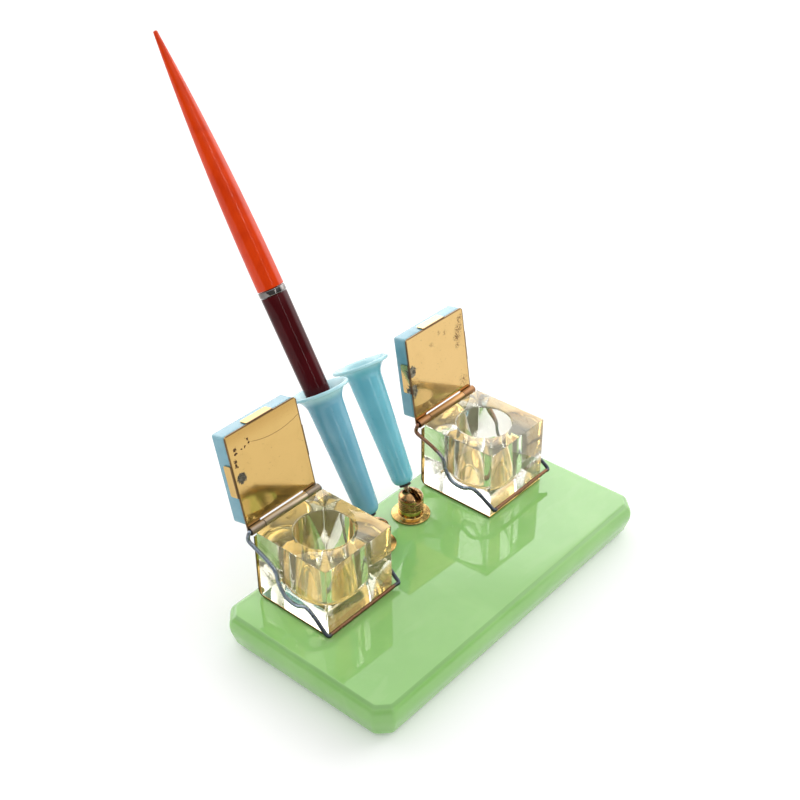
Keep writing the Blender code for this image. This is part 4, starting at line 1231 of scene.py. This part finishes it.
def emitter(name, place, aim, width, height, strength, glossy=True):
    light = bpy.data.lights.new(name, "AREA")
    light.shape = "RECTANGLE"
    light.size, light.size_y = width, height
    light.energy = strength
    made = bpy.data.objects.new(name, light)
    bpy.context.scene.collection.objects.link(made)
    made.location = place
    made.rotation_euler = (Vector(aim) - Vector(place)).to_track_quat("-Z", "Y").to_euler()
    made.visible_glossy = glossy
    made.visible_transmission = glossy


def build_stage():
    low, high = (-FLOOR_HALF, -FLOOR_HALF, -FLOOR_THICKNESS), (FLOOR_HALF, FLOOR_HALF, 0)
    floor = mesh_object("floor", box(low, high))
    made = Finish("paper")
    made.set(Base_Color=made.mix(made.noise(30, 3.0), (0.90, 0.90, 0.90), (0.92, 0.92, 0.92)), Roughness=0.85)
    made.set(Emission_Color=(1.0, 1.0, 1.0), Emission_Strength=0.12)
    floor.data.materials.append(made.material)

    build_studio()
    middle = (0, 0.02, 0.05)
    emitter("window", (0.90, -0.40, 0.80), middle, 0.7, 0.7, 2.8, glossy=False)
    emitter("strip", (-0.25, -0.95, 0.55), (0, 0.02, 0.12), 0.02, 0.9, 0.9)


def build_studio():
    """A pale tent. Shiny surfaces see it bright low down behind the set, and dim behind the camera."""
    world = bpy.data.worlds.new("studio")
    world.use_nodes = True
    sky = Nodes(world.node_tree, "Generated")
    azimuth = radians(CAMERA_AZIMUTH)
    along_x = sky.times(sky.axis("X"), -sin(azimuth))
    along_y = sky.times(sky.axis("Y"), cos(azimuth))
    behind_set = sky.ramp(sky.maths("ADD", along_x, along_y), -0.15, 0.40)
    rise = sky.axis("Z")
    backdrop = sky.maths("ADD", sky.ramp(rise, 0.60, 0.68, 1.9, 0.0), sky.ramp(rise, 0.0, 0.3, 0.4, 1.8))
    path = sky.node("LightPath").outputs
    low_down = sky.maths("ADD", 0.15, sky.times(path["Is Transmission Ray"], 0.40))
    behind_camera = sky.ramp(rise, 0.3, 0.9, low_down, 1.4)
    shiny = sky.between(behind_set, behind_camera, backdrop)
    background = sky.tree.nodes["Background"].inputs
    sky.put(background["Color"], (1.0, 1.0, 1.0, 1.0))
    sky.put(background["Strength"], sky.between(path["Is Diffuse Ray"], shiny, AMBIENT))
    bpy.context.scene.world = world


def build_camera():
    azimuth, elevation = radians(CAMERA_AZIMUTH), radians(CAMERA_ELEVATION)
    back = Vector((sin(azimuth) * cos(elevation), -cos(azimuth) * cos(elevation), sin(elevation)))
    data = bpy.data.cameras.new("camera")
    data.lens = CAMERA_LENS
    data.sensor_width = 36.0
    data.clip_start = 0.02
    camera = bpy.data.objects.new("camera", data)
    bpy.context.scene.collection.objects.link(camera)
    camera.rotation_mode = "QUATERNION"
    aim = CAMERA_AIM + Vector((0, 0, SLAB_TOP))
    roll = Matrix.Rotation(radians(CAMERA_ROLL), 4, "Z")
    turn = (-back).to_track_quat("-Z", "Y").to_matrix().to_4x4()
    camera.rotation_quaternion = (turn @ roll).to_quaternion()
    camera.location = aim + back * CAMERA_DISTANCE
    bpy.context.scene.camera = camera


def main():
    build_base()
    build_inkwells()
    build_swivels()
    build_trumpets()
    build_pen()
    build_stage()
    build_camera()
    scene = bpy.context.scene
    scene.view_settings.view_transform = "Standard"
    scene.cycles.max_bounces = 24
    scene.cycles.transmission_bounces = 24


main()
